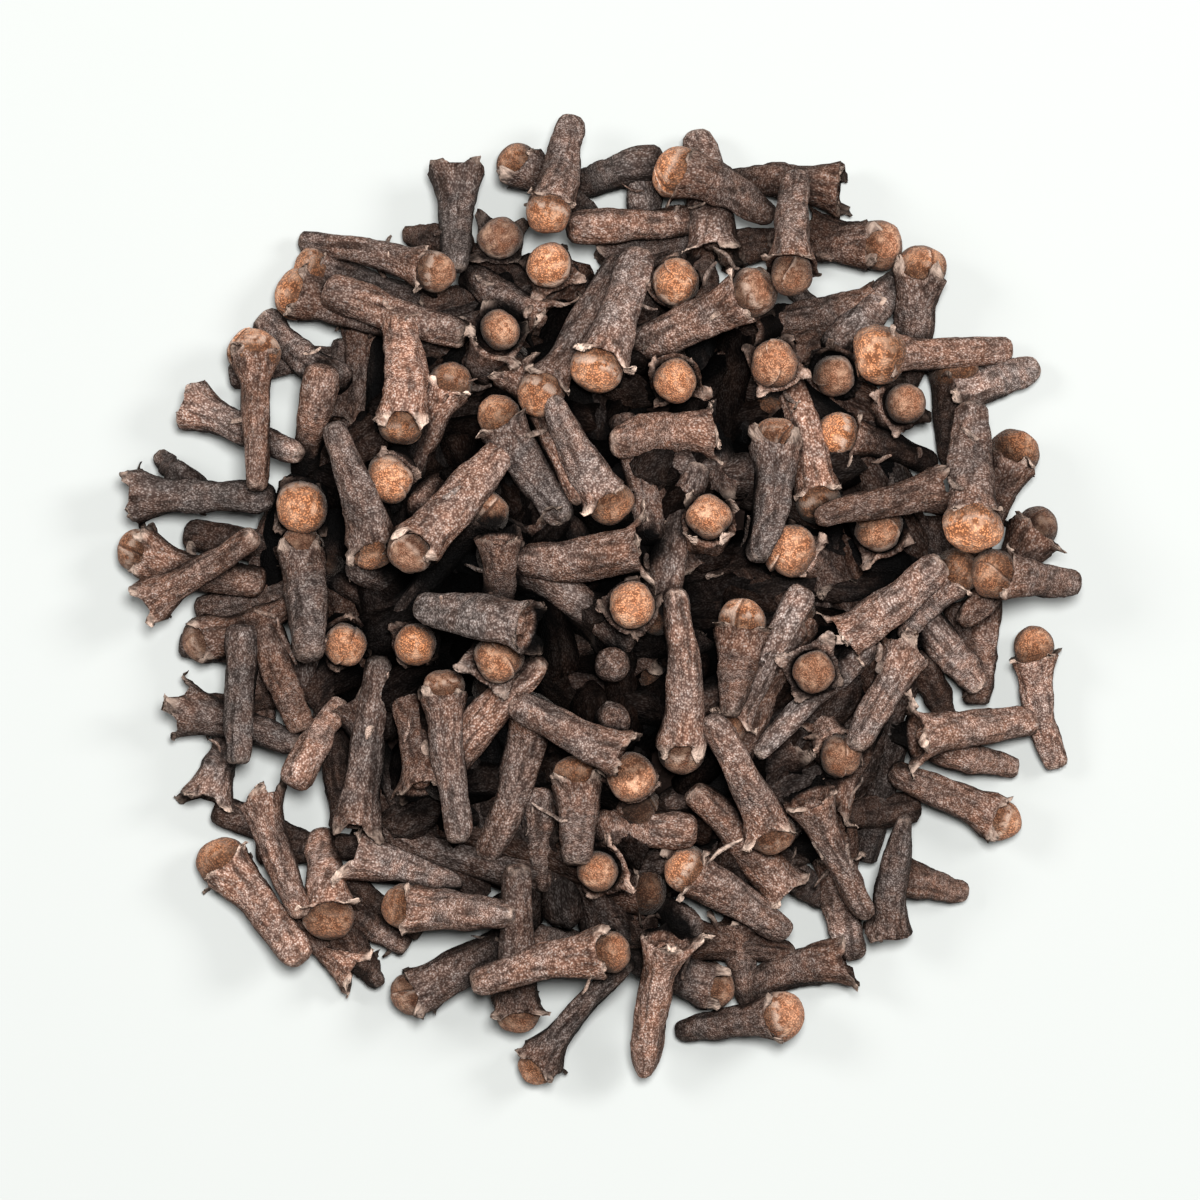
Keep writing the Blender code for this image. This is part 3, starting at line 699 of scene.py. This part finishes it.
def lowCloves():
    # cloves under the rim, then cloves halfway down where the ones on top leave the most room
    dice = random.Random(lowLayer["seed"])
    cover = shownCover.copy()
    low = []
    for headX, headY, tailX, tailY in rimPlaces:
        ends = []
        for x, y in ((tailX, tailY), (headX, headY)):
            height = float(coreHeight(math.hypot(x, y) * mm)) + lowLayer["lift"]
            ends.append(np.array((x * mm, y * mm, max(height, lowLayer["rimHeight"]))))
        low.append((dice.choice(lowLayer["kinds"]), dice.uniform(*lowLayer["rimSizes"]), *ends))
    for _ in range(lowLayer["count"]):
        best = barestPlace(dice, cover, lowLayer["tries"], lowLayer["reach"], clearOfSpots)
        markCovered(cover, "stalk", 1, *best)
        lift = lowLayer["lift"] + dice.uniform(-0.5, 0.5) * lowLayer["spread"]
        ends = [np.array((*end, float(coreHeight(math.hypot(*end))) + lift)) for end in best]
        low.append((dice.choice(lowLayer["kinds"]), dice.uniform(*lowLayer["gapSizes"]), *ends))
    # painted shade: each low clove is darkened as a whole, those halfway down more than those under the rim
    shades = [dice.uniform(*lowLayer["rimShade" if place < len(rimPlaces) else "gapShade"])
              for place in range(len(low))]
    return low, [dice.uniform(0, math.tau) for _ in low], shades


# Tones, painted shades and painted light of a stem, with heights and widths along the clove in mm
stemTint = {
    "redder": 0.4, "redFrom": 9, "redOver": 3, "paleFrom": 0.2, "paleOver": 0.7, "lobesFrom": 2.4,
    "standing": 6 * mm, "standingPale": 0.4, "tailPale": (0, 0.6), "tailFrom": 0.6, "tailOver": 0.4,
    "calyxPaintedShade": 0.55, "cupLight": 0.9, "cupPaintedShade": 0.35, "cupPaintedLight": 0.75,
}
# Spread of the buds' widths in mm, tones and dents, the pale band above the calyx, and their painted shade
# and painted light
budTint = {
    "widths": (3.8, 4.7), "brown": (0.15, 0.9), "bright": (0.1, 0.8), "ring": (0.2, 1),
    "swell": (0.95, 1.04), "dent": 0.11, "fineDent": 0.05, "bandAt": 0.14, "bandWide": 0.2,
    "middleShade": 0.42, "upShade": 0.8, "lowShade": 0.3, "crownLight": 0.32,
}

low, lowRolls, lowShades = lowCloves()
dice = random.Random(variety["seed"])
made = {"cloveStems": [], "cloveBuds": [], "openCloves": [], "bareStalks": []}
near = {"tone": 2.4, "bud": 1.3, "longLobe": 0.6}  # how close a table's place is to its clove, in mm
allCloves = zip(laid + low, rolls + lowRolls, [1] * len(laid) + lowShades)
for number, (clove, roll, shade) in enumerate(allCloves):
    kind, size, tail, head = clove
    plan = math.dist(tail[:2], head[:2])
    tone, light = dice.random(), dice.random()
    if number < len(laid):
        middle = 0.5 * (head + tail) / mm
        nearest = min(clearTones, key=lambda row: math.dist(row[:2], middle[:2]))
        if math.dist(nearest[:2], middle[:2]) < near["tone"]:
            tone, light = nearest[2:]
    bendBy = dice.uniform(-1, 1) * variety["bend"] * mm * (1 if plan > 8 * mm else 0.3)
    bendTurn = dice.uniform(0, math.tau)
    offset = anywhere(dice, 0.2)
    budLook, fillerLook, openLook = (dice.choice(sorted(looks)) for looks in (stems, stems, opens))
    base, group, lobed = {
        "bud": (stems[budLook], "cloveStems", "bud"),
        "filler": (stems[fillerLook], "cloveStems", "bud"),
        "open": (opens[openLook], "openCloves", "open"),
        "stalk": (stalk, "bareStalks", None),
    }[kind]
    if kind == "open" and min(math.dist(head[:2] / mm, spot) for spot in longLobed) < near["longLobe"]:
        base, roll = opens["long"], roll - layout["levelRoll"]  # two of its lobes lie level
    piece = placedCopy(base, f"{group}_{number:03d}")
    start = readPoints(piece.data)
    straight = straightClove(start, dice, lobed)
    placed = cloveFrame(clove, roll, straight, bendBy, bendTurn)
    across, up = np.hypot(start[:, 0], start[:, 1]), start[:, 2]
    # painted light: a clove under the rim keeps some light however little open sky it sees
    underRim = len(laid) <= number < len(laid) + len(rimPlaces)
    least = np.full(len(start), lowLayer["rimLeast"] if underRim else 0.0)
    red, pale, inside = tone, 0.0, 1.0
    if lobed:  # redder towards the calyx, and pale at the tips of its lobes
        nearCalyx = np.clip((up / mm - stemTint["redFrom"]) / stemTint["redOver"], 0, 1)
        red = np.clip(tone + stemTint["redder"] * nearCalyx, 0, 1)
        reach = (up - rims[lobed]) / mm + np.clip(across / mm - stemTint["lobesFrom"], 0, 2)
        pale = np.clip((reach - stemTint["paleFrom"]) / stemTint["paleOver"], 0, 1)
        if plan < stemTint["standing"]:  # the lobes of a standing clove lie in its own shade
            # painted shade: this makes the lobes less pale
            pale *= stemTint["standingPale"]
    tailPale = dice.uniform(*stemTint["tailPale"])
    atTail = np.clip((-up / mm - stemTint["tailFrom"]) / stemTint["tailOver"], 0, 1) * (across > 0.7 * mm)
    pale = np.maximum(pale, tailPale * atTail)
    if lobed == "bud":
        # painted shade inside the calyx, under the bud
        inside = 1 - stemTint["calyxPaintedShade"] * (across < 1.9 * mm) * (up > 11 * mm)
    elif lobed:
        within = (across < 1.87 * mm) * (up > 11.8 * mm)
        red, light = np.maximum(red, within), np.maximum(light, stemTint["cupLight"] * within)
        # painted shade in a ring inside the cup
        inside = 1 - stemTint["cupPaintedShade"] * (across < 1.6 * mm) * (across > 0.8 * mm) * within
        # painted light: the inside of the cup keeps light by the open sky over the clove's top
        sky = float(openness(placed[np.argmax(placed[:, 2])][None, :])[0])
        least = np.maximum(least, stemTint["cupPaintedLight"] * sky * within)
    axisHeight = tail[2] + np.clip(straight[:, 2] / layout["length"], 0, 1) * (head[2] - tail[2])
    # painted shade: the clove's own shade, and its sides darker than its top
    inside = inside * shade * sideShade(placed[:, 2] - axisHeight)
    writePoints(piece, placed, start + offset, tinted(len(start), red, light, pale, inside), least)
    made[group].append(piece)
    if kind in ("bud", "filler"):
        look = dice.choice(sorted(buds))
        width, brown, bright, ringed = (dice.uniform(*budTint[name])
                                        for name in ("widths", "brown", "bright", "ring"))
        for seenX, seenY, *seen in clearBuds:
            if math.dist(head[:2] / mm, (seenX, seenY)) < near["bud"] and kind == "bud":
                width, look, brown, bright = seen
        ball = placedCopy(buds[look], f"bud_{number:03d}")
        start = readPoints(ball.data)
        up = start[:, 2] / budShape["radius"]
        swell = width * mm / (2 * budShape["radius"] * size)
        swell = swell * np.array([dice.uniform(*budTint["swell"]), dice.uniform(*budTint["swell"]), 1])
        ballTurn = np.array(Quaternion((0, 0, 1), dice.uniform(0, math.tau)).to_matrix())
        shaped = (start * swell) @ ballTurn.T
        shift = anywhere(dice)
        dent = noiseAt(shaped, 330, 1, shift) * budTint["dent"]
        dent += noiseAt(shaped, 1100, 1, shift) * budTint["fineDent"]
        shaped = shaped * (1 + dent[:, None])
        shaped[:, 2] += layout["length"] + variety["budLift"]
        placed = cloveFrame(clove, roll, shaped, bendBy, bendTurn)
        seam = np.empty(len(start), dtype=np.float32)
        ball.data.attributes["seam"].data.foreach_get("value", seam)
        band = np.exp(-((up - budTint["bandAt"]) / budTint["bandWide"]) ** 2)
        edges = np.where(seam < 0.5, seam, np.maximum(seam, 0.5 + 0.5 * ringed * band))
        # painted shade: a bud is darker towards its calyx and at its sides
        inside = shade * np.clip(budTint["middleShade"] + budTint["upShade"] * up, budTint["lowShade"], 1)
        inside = inside * sideShade(placed[:, 2] - placed[:, 2].mean())
        # painted light on the crowns of the buds that lie on top
        crownLight = budTint["crownLight"] * np.clip(up + 0.2, 0, 1) * (kind == "bud")
        tint = tinted(len(start), brown, bright, edges, inside)
        writePoints(ball, placed, start + offset, tint, crownLight)
        made["cloveBuds"].append(ball)
print("placed", {group: len(pieces) for group, pieces in made.items()})

wholes = {group: joined(pieces, group) for group, pieces in made.items()}

# Cloves deep in the heap: darkened with painted shade, most towards the middle of the heap, they show only as
# dark shapes between the others
deepLayer = {
    "seed": 5, "count": 130, "reach": 30 * mm, "sunk": 0.9 * mm, "spread": 1.4 * mm, "lowest": 2.3 * mm,
    "sizes": (0.88, 1.0), "bend": 0.6, "lumps": 0.12, "shade": 0.2, "rimLeast": 0.6,
    "outerFrom": 19 * mm, "outerOver": 6 * mm,
}


def deepCloves():
    dice = random.Random(deepLayer["seed"])
    pieces = []
    while len(pieces) < deepLayer["count"]:
        place = randomPlace(dice, deepLayer["reach"])
        if max(math.hypot(*end) for end in place) > deepLayer["reach"] or not clearOfSpots(place):
            continue
        ends = []
        for end in place:
            lift = dice.uniform(-0.5, 1) * deepLayer["spread"] - deepLayer["sunk"]
            height = float(coreHeight(math.hypot(*end))) + lift
            ends.append(np.array((*end, max(height, deepLayer["lowest"]))))
        clove = ("filler", dice.uniform(*deepLayer["sizes"]), *ends)
        piece = placedCopy(hidden, f"deep_{len(pieces):03d}")
        start = readPoints(piece.data)
        lumpy = start * (1 + deepLayer["lumps"] * noiseAt(start, 500, 1, anywhere(dice)))[:, None]
        roll, bend = dice.uniform(0, math.tau), dice.uniform(-deepLayer["bend"], deepLayer["bend"])
        placed = cloveFrame(clove, roll, lumpy, bend * mm, 0)
        middle = math.hypot(*(place[0] + place[1])) / 2
        outer = float(np.clip((middle - deepLayer["outerFrom"]) / deepLayer["outerOver"], 0, 1))
        # painted shade, lifted towards the rim
        shade = deepLayer["shade"] + (1 - deepLayer["shade"]) * outer
        tint = tinted(len(start), dice.random(), dice.random(), 0, shade)
        writePoints(piece, placed, start + anywhere(dice, 0.2), tint, deepLayer["rimLeast"] * outer)
        pieces.append(piece)
    return joined(pieces, "hiddenCloves")


wholes["hiddenCloves"] = deepCloves()
print("placed the hidden cloves")

# Core: a low mound under the cloves, near black with painted shade, that keeps clear of the gaps at the rim
coreShape = {
    "sides": 72, "radius": 28.0, "foot": 0.1, "drop": 1.6, "rough": 0.5, "roughScale": 330,
    "rings": (28.0, 27.6, 26, 24, 22, 20, 18, 16, 14, 12, 10, 8, 6, 4, 2),
    "spotClear": 5 * mm, "spotsFrom": 20 * mm,
}


def heapCore():
    profile = [(coreShape["radius"], coreShape["foot"])]
    for radius in coreShape["rings"]:
        profile.append((radius, float(coreHeight(radius * mm)) / mm - coreShape["drop"]))
    core = drawnUp("heapCore", coreShape["sides"], profile)
    for vertex in core.data.vertices:
        point = vertex.co
        if point.z > 2 * coreShape["foot"] * mm:
            spot = Vector((point.x, point.y, 0)) * coreShape["roughScale"]
            point.z += coreShape["rough"] * mm * noise.noise(spot)
        reach = math.hypot(point.x, point.y)
        for spotX, spotY in lowLayer["openSpots"]:
            off = math.hypot(point.x - spotX * mm, point.y - spotY * mm)
            if off < coreShape["spotClear"] and reach > coreShape["spotsFrom"]:
                pull = 1 - (coreShape["spotClear"] - off) / reach
                point.x *= pull
                point.y *= pull
    return core


wholes["heapCore"] = heapCore()

# Loose flakes of calyx and thin bits of twig between the cloves; length, width and thickness in mm
flakeShape = {
    "seed": 17, "count": 90, "reach": 38 * mm, "budClear": 2.9 * mm, "heapFrom": 2 * mm,
    "kinds": ((2.4, 0.45, 0.22), (3.8, 0.34, 0.28), (1.4, 0.7, 0.25), (1.9, 0.5, 0.3)),
    "cuts": 6, "gapReach": 2.5 * mm, "gapDepth": 1.2 * mm, "steepest": 0.9, "least": 0.35,
}


def flakeBase(number, length, width, thick):
    selectOnly()
    bpy.ops.mesh.primitive_cube_add(size=1)
    flake = bpy.context.object
    flake.name = f"flake_{number}"
    flake.scale = (length * mm, width * mm, thick * mm)
    bpy.ops.object.transform_apply(location=False, rotation=False, scale=True)
    bpy.ops.object.mode_set(mode="EDIT")
    bpy.ops.mesh.select_all(action="DESELECT")
    mesh = bmesh.from_edit_mesh(flake.data)
    for edge in mesh.edges:
        if abs(edge.verts[0].co.x - edge.verts[1].co.x) > 0.5 * length * mm:
            edge.select_set(True)
    bmesh.update_edit_mesh(flake.data)
    bpy.ops.mesh.subdivide(number_cuts=flakeShape["cuts"])
    bpy.ops.object.mode_set(mode="OBJECT")
    for vertex in flake.data.vertices:
        point = vertex.co
        share = 2 * point.x / (length * mm)
        point.y *= 1 - 0.6 * abs(share) ** 2.5
        point.z = point.z * (1 - 0.4 * abs(share)) + 0.16 * length * mm * share ** 2
    return flake


def looseFlakes():
    dice = random.Random(flakeShape["seed"])
    bases = [flakeBase(number, *kind) for number, kind in enumerate(flakeShape["kinds"])]
    budHeads = [clove[3][:2] for clove in laid if clove[0] == "bud"]
    pieces = []
    while len(pieces) < flakeShape["count"]:
        radius = flakeShape["reach"] * math.sqrt(dice.random())
        angle, turn = dice.uniform(0, math.tau), dice.uniform(0, math.tau)
        middle = radius * heading(angle)
        here = topAt(heapTop, *middle)
        around = [topAt(heapTop, *(middle + flakeShape["gapReach"] * heading(way)))
                  for way in np.linspace(0, math.tau, 8, endpoint=False)]
        inGap = max(around) - here >= flakeShape["gapDepth"]
        offBuds = min(math.dist(middle, head) for head in budHeads) >= flakeShape["budClear"]
        if here < flakeShape["heapFrom"] or topAt(shownCover, *middle) <= 0 or not (inGap and offBuds):
            continue
        piece = placedCopy(dice.choice(bases), f"flake_{len(pieces):03d}")
        start = readPoints(piece.data)
        half = float(start[:, 0].max())
        along = half * heading(turn)
        heights = [float(topAt(heapTop, *end)) for end in (middle - along, middle + along)]
        slope = (heights[1] - heights[0]) / (2 * half)
        slope = max(-flakeShape["steepest"], min(flakeShape["steepest"], slope))
        bent = start * dice.uniform(0.7, 1.25)
        bent[:, 1] += noiseAt(start, 500, 1, anywhere(dice)) * 0.5 * mm
        roll = Quaternion((1, 0, 0), dice.uniform(-0.8, 0.8))
        spin = Quaternion((0, 0, 1), turn) @ Quaternion((0, 1, 0), -math.atan(slope)) @ roll
        placed = bent @ np.array(spin.to_matrix()).T
        placed += np.array((*middle, sum(heights) / 2 + 0.02 * mm))
        tint = tinted(len(start), dice.random(), dice.uniform(0.1, 0.9), dice.uniform(0, 0.7), 1)
        writePoints(piece, placed, start + anywhere(dice, 0.2), tint, flakeShape["least"])
        pieces.append(piece)
    for base in bases:
        bpy.data.objects.remove(base)
    return joined(pieces, "calyxFlakes")


wholes["calyxFlakes"] = looseFlakes()
for base in [*stems.values(), *opens.values(), *buds.values(), stalk, hidden]:
    bpy.data.objects.remove(base)
for name, whole in wholes.items():
    selectOnly(whole)
    if name == "cloveBuds":
        bpy.ops.object.shade_smooth_by_angle(angle=math.radians(38))
    else:
        bpy.ops.object.shade_smooth()
    triangles = sum(len(face.vertices) - 2 for face in whole.data.polygons)
    print(name, triangles, "triangles")


# Materials

def feed(node, inputs):
    # a socket takes a link from another socket, or a plain value
    for name, source in inputs.items():
        if isinstance(source, bpy.types.NodeSocket):
            node.id_data.links.new(source, node.inputs[name])
        else:
            node.inputs[name].default_value = source


def addNode(tree, kind, inputs=None, **settings):
    node = tree.nodes.new(kind)
    column, row = divmod(len(tree.nodes), 5)
    node.location = (column * 220 - 1500, 600 - row * 320)
    for name, value in settings.items():
        setattr(node, name, value)
    feed(node, inputs or {})
    return node


def mixColour(factor, first, second):
    sockets = {0: factor, 6: first, 7: second}
    return addNode(factor.id_data, "ShaderNodeMix", sockets, data_type="RGBA").outputs[2]


def maths(first, operation, second, clamp=False):
    sockets = {0: first, 1: second}
    return addNode(first.id_data, "ShaderNodeMath", sockets, operation=operation, use_clamp=clamp).outputs[0]


def times(first, second):
    return maths(first, "MULTIPLY", second)


def remap(value, low, high, toLow=0.0, toHigh=1.0):
    sockets = {"Value": value, "From Min": low, "From Max": high, "To Min": toLow, "To Max": toHigh}
    node = addNode(value.id_data, "ShaderNodeMapRange", sockets, interpolation_type="SMOOTHSTEP")
    return node.outputs["Result"]


def noiseField(vector, scale, detail, roughness=0.5, distortion=0.0):
    sockets = {"Vector": vector, "Scale": scale, "Detail": detail, "Roughness": roughness,
               "Distortion": distortion}
    return addNode(vector.id_data, "ShaderNodeTexNoise", sockets).outputs["Fac"]


def newGroup(name, floats, results):
    tree = bpy.data.node_groups.new(name, "ShaderNodeTree")
    tree.interface.new_socket(name="Coord", in_out="INPUT", socket_type="NodeSocketVector")
    for socketName, value in floats.items():
        socket = tree.interface.new_socket(name=socketName, in_out="INPUT", socket_type="NodeSocketFloat")
        socket.default_value = value
    for socketName in results:
        tree.interface.new_socket(name=socketName, in_out="OUTPUT", socket_type="NodeSocketFloat")
    return tree, addNode(tree, "NodeGroupInput").outputs, addNode(tree, "NodeGroupOutput")


def pebbleGroup():
    # fine raised grains, and the lighter specks on top of them
    tree, source, result = newGroup(
        "pebbleGrain", {"Grain Scale": 3600.0, "Stretch": 0.8, "Unevenness": 0.5, "Patch Scale": 420.0},
        ("Height", "Body", "Specks", "Patches", "Mottle"))
    stretch = addNode(tree, "ShaderNodeCombineXYZ", {"X": 1.0, "Y": 1.0, "Z": source["Stretch"]})
    along = addNode(tree, "ShaderNodeVectorMath", {0: source["Coord"], 1: stretch.outputs[0]},
                    operation="MULTIPLY").outputs[0]
    cells = addNode(tree, "ShaderNodeTexVoronoi",
                    {"Vector": along, "Scale": source["Grain Scale"], "Randomness": 1.0}, feature="F1")
    hill = addNode(tree, "ShaderNodeMath", {0: 1.0, 1: cells.outputs["Distance"]}, operation="SUBTRACT")
    soft = noiseField(along, times(source["Grain Scale"], 0.45), 2.0, roughness=0.6)
    broad = noiseField(source["Coord"], source["Patch Scale"], 1.0)
    mottle = noiseField(along, times(source["Grain Scale"], 0.26), 1.5)
    height = maths(hill.outputs[0], "ADD", times(soft, source["Unevenness"]))
    thin = remap(broad, 0.3, 0.62, 0.82, 1.0)
    feed(result, {"Height": height, "Body": remap(height, 0.74, 1.16), "Patches": broad,
                  "Specks": times(remap(height, 1.08, 1.44), thin), "Mottle": mottle})
    return tree


def wrinkleGroup():
    # shallow furrows that run along the stem
    tree, source, result = newGroup("lengthwiseWrinkles", {"Furrow Scale": 1500.0}, ("Height", "Furrow"))
    squeeze = addNode(tree, "ShaderNodeVectorMath", {0: source["Coord"], 1: (1.0, 1.0, 0.16)},
                      operation="MULTIPLY")
    lines = noiseField(squeeze.outputs[0], source["Furrow Scale"], 2.5, distortion=0.4)
    feed(result, {"Height": lines, "Furrow": remap(lines, 0.46, 0.3)})
    return tree


pebbles = pebbleGroup()
wrinkles = wrinkleGroup()


def grouped(group, coord, **values):
    sockets = {name.replace("_", " "): value for name, value in values.items()}
    return addNode(coord.id_data, "ShaderNodeGroup", {"Coord": coord, **sockets}, node_tree=group).outputs


def startMaterial(name):
    # the pattern follows each clove's own points, and the tint carries its tone and its painted shade
    material = bpy.data.materials.new(name)
    material.use_nodes = True
    tree = material.node_tree
    coord, tint = (addNode(tree, "ShaderNodeAttribute", attribute_name=attribute).outputs
                   for attribute in ("cloveCoord", "tint"))
    split = addNode(tree, "ShaderNodeSeparateColor", {"Color": tint["Color"]})
    return material, coord["Vector"], split.outputs, tint["Alpha"]


def shaded(colour, shade):
    return addNode(colour.id_data, "ShaderNodeVectorMath", {0: colour, "Scale": shade},
                   operation="SCALE").outputs[0]


def finishSurface(material, finish, colour, roughness, height, paintedShade=1.0):
    bump = addNode(material.node_tree, "ShaderNodeBump",
                   {"Strength": finish["bump"], "Distance": finish["bumpDepth"], "Height": height})
    feed(material.node_tree.nodes["Principled BSDF"], {
        "Base Color": colour, "Roughness": roughness, "Normal": bump.outputs["Normal"],
        "Specular IOR Level": finish["specular"] * paintedShade, **finish.get("sheen", {})})
    return material


# Stem: grey brown to red brown, pebbled with lighter specks
stemFinish = {
    "greyDark": (0.075, 0.055, 0.048, 1), "redDark": (0.11, 0.052, 0.034, 1),
    "greyBody": (0.19, 0.151, 0.134, 1), "redBody": (0.268, 0.153, 0.108, 1),
    "greySpeck": (0.385, 0.335, 0.312, 1), "redSpeck": (0.41, 0.325, 0.288, 1),
    "pale": (0.48, 0.355, 0.285, 1), "furrow": (0.035, 0.021, 0.016, 1), "furrowDepth": 0.6,
    "grain": 5600.0, "unevenness": 0.95, "furrows": 1500.0,
    "lightLow": 0.56, "lightHigh": 1.28, "roughest": 0.77, "smoothest": 0.5,
    "bump": 0.85, "bumpDepth": 0.14 * mm, "specular": 0.06,
}


def stemMaterial(name, finish, paintedShade=1.0):
    material, coord, tint, inside = startMaterial(name)
    grain = grouped(pebbles, coord, Grain_Scale=finish["grain"], Stretch=0.8, Unevenness=finish["unevenness"])
    lines = grouped(wrinkles, coord, Furrow_Scale=finish["furrows"])
    # tone goes by clove, and by patch along it
    patches = remap(grain["Patches"], 0.35, 0.65, -0.1, 0.3)
    warm = maths(times(tint["Red"], 0.75), "ADD", patches, clamp=True)
    ground, body, speck = (mixColour(warm, finish["grey" + layer], finish["red" + layer])
                           for layer in ("Dark", "Body", "Speck"))
    colour = mixColour(grain["Specks"], mixColour(grain["Body"], ground, body), speck)
    colour = mixColour(times(lines["Furrow"], finish["furrowDepth"]), colour, finish["furrow"])
    edge = times(tint["Blue"], remap(grain["Mottle"], 0.25, 0.55))
    colour = mixColour(edge, colour, finish["pale"])
    # painted shade: a copy with paintedShade under 1 is darker all over
    light = remap(tint["Green"], 0.0, 1.0, finish["lightLow"] * paintedShade, finish["lightHigh"] * paintedShade)
    mottled = remap(grain["Mottle"], 0.3, 0.7, 0.72, 1.3)
    uneven = times(mottled, remap(lines["Height"], 0.35, 0.65, 0.75, 1.22))
    # inside is the painted shade from the tint's alpha
    colour = shaded(colour, times(times(light, uneven), inside))
    roughness = remap(grain["Specks"], 0.0, 1.0, finish["roughest"], finish["smoothest"])
    height = maths(grain["Height"], "ADD", times(lines["Height"], 0.9))
    return finishSurface(material, finish, colour, roughness, height, paintedShade)


# Bud: orange tan with fine dark grain, paler where a petal's edge lies
budFinish = {
    "tan": (0.72, 0.29, 0.125, 1), "brown": (0.3, 0.17, 0.12, 1), "grain": (0.12, 0.045, 0.022, 1),
    "deep": (0.4, 0.135, 0.055, 1), "dustAndShade": (0.82, 0.5, 0.33, 1),
    "seam": (0.08, 0.035, 0.02, 1), "lip": (0.76, 0.54, 0.42, 1),
    "grainScale": 5200.0, "unevenness": 0.8, "patches": 760.0,
    "lightLow": 0.66, "lightHigh": 1.24, "roughest": 0.74, "smoothest": 0.54,
    "bump": 0.9, "bumpDepth": 0.12 * mm, "specular": 0.08,
    "sheen": {"Sheen Weight": 0.12, "Sheen Tint": (0.9, 0.78, 0.7, 1), "Sheen Roughness": 0.45},
}


def budMaterial(name, finish):
    material, coord, tint, inside = startMaterial(name)
    grain = grouped(pebbles, coord, Grain_Scale=finish["grainScale"], Stretch=1.0,
                    Unevenness=finish["unevenness"], Patch_Scale=finish["patches"])
    mottle = grain["Mottle"]
    colour = mixColour(tint["Red"], finish["tan"], finish["brown"])
    colour = mixColour(remap(grain["Patches"], 0.5, 0.32, 0.0, 0.5), colour, finish["deep"])
    colour = mixColour(remap(grain["Height"], 1.12, 0.84, 0.0, 0.85), colour, finish["grain"])
    # pale dust in patches on the bud
    dusty = times(remap(grain["Patches"], 0.46, 0.7, 0.12, 0.5), remap(mottle, 0.35, 0.62))
    colour = mixColour(dusty, colour, finish["dustAndShade"])
    colour = mixColour(remap(tint["Blue"], 0.42, 0.05, 0.0, 0.75), colour, finish["seam"])
    lip = times(remap(tint["Blue"], 0.6, 0.95, 0.0, 0.75), remap(mottle, 0.35, 0.55))
    colour = mixColour(lip, colour, finish["lip"])
    light = remap(tint["Green"], 0.0, 1.0, finish["lightLow"], finish["lightHigh"])
    # inside is the painted shade from the tint's alpha
    colour = shaded(colour, times(inside, light))
    roughness = remap(grain["Height"], 0.7, 1.3, finish["roughest"], finish["smoothest"])
    return finishSurface(material, finish, colour, roughness, grain["Height"])


# the core's colours are painted shade: near black, with specks a little lighter
coreFinish = {
    "dark": (0.008, 0.005, 0.004, 1), "dustAndShade": (0.02, 0.013, 0.011, 1), "roughness": 0.95,
    "grain": 1600.0, "unevenness": 0.8, "bump": 0.8, "bumpDepth": 0.3 * mm, "specular": 0.05,
}


def coreMaterial(name, finish):
    material = bpy.data.materials.new(name)
    material.use_nodes = True
    coord = addNode(material.node_tree, "ShaderNodeTexCoord").outputs["Object"]
    grain = grouped(pebbles, coord, Grain_Scale=finish["grain"], Stretch=1.0, Unevenness=finish["unevenness"])
    colour = mixColour(grain["Specks"], finish["dark"], finish["dustAndShade"])
    return finishSurface(material, finish, colour, finish["roughness"], grain["Height"])


finishes = {
    "cloveStems": stemMaterial("cloveStem", stemFinish),
    "cloveBuds": budMaterial("cloveBud", budFinish),
    # a darker copy of the stem material for the hidden cloves: painted shade
    "hiddenCloves": stemMaterial("hiddenStem", stemFinish, 0.35),
    "heapCore": coreMaterial("heapCore", coreFinish),
}
for name, piece in wholes.items():
    material = finishes.get(name, finishes["cloveStems"])
    piece.data.materials.clear()
    piece.data.materials.append(material)
    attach(piece, "root")
    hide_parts("clove_heap")
print("materials are on")

# Floor, light and camera
studio = {
    "floor": (0.46, 0.475, 0.46, 1), "floorSize": 3.0, "world": (1, 1, 1, 1), "worldLight": 0.1,
    "photoPixels": 1200, "pixelsPerMm": 11, "aim": (0.14 * mm, 0.05 * mm, 9 * mm), "distance": 0.8,
    "sensor": 36,
    "lights": (("left", (-0.6, 0.25, 0.55), 0.3, 2.4), ("right", (0.6, 0.25, 0.55), 0.3, 3.4),
               ("top", (0.05, 0.12, 0.9), 0.22, 12)),
}
selectOnly()
bpy.ops.mesh.primitive_plane_add(size=studio["floorSize"])
floor = bpy.context.object
floor.name = "floor"
paint = bpy.data.materials.new("floorPaint")
paint.use_nodes = True
paint.node_tree.nodes["Principled BSDF"].inputs["Base Color"].default_value = studio["floor"]
paint.node_tree.nodes["Principled BSDF"].inputs["Roughness"].default_value = 0.9
floor.data.materials.append(paint)

for name, place, size, power in studio["lights"]:
    lamp = bpy.data.lights.new("light_" + name, "AREA")
    lamp.shape = "DISK"
    lamp.size = size
    lamp.energy = power
    item = bpy.data.objects.new("light_" + name, lamp)
    item.location = place
    item.rotation_euler = (-Vector(place)).to_track_quat("-Z", "Y").to_euler()
    bpy.context.scene.collection.objects.link(item)

world = bpy.data.worlds.new("studio")
world.use_nodes = True
world.node_tree.nodes["Background"].inputs["Color"].default_value = studio["world"]
world.node_tree.nodes["Background"].inputs["Strength"].default_value = studio["worldLight"]
bpy.context.scene.world = world

lens = bpy.data.cameras.new("camera")
lens.sensor_width = studio["sensor"]
width = studio["photoPixels"] / studio["pixelsPerMm"] * mm
lens.lens = studio["sensor"] * studio["distance"] / width
lens.clip_start = 0.01
camera = bpy.data.objects.new("camera", lens)
camera.location = Vector(studio["aim"]) + Vector((0, 0, studio["distance"]))
bpy.context.scene.collection.objects.link(camera)
bpy.context.scene.camera = camera
bpy.context.scene.view_settings.view_transform = "Standard"
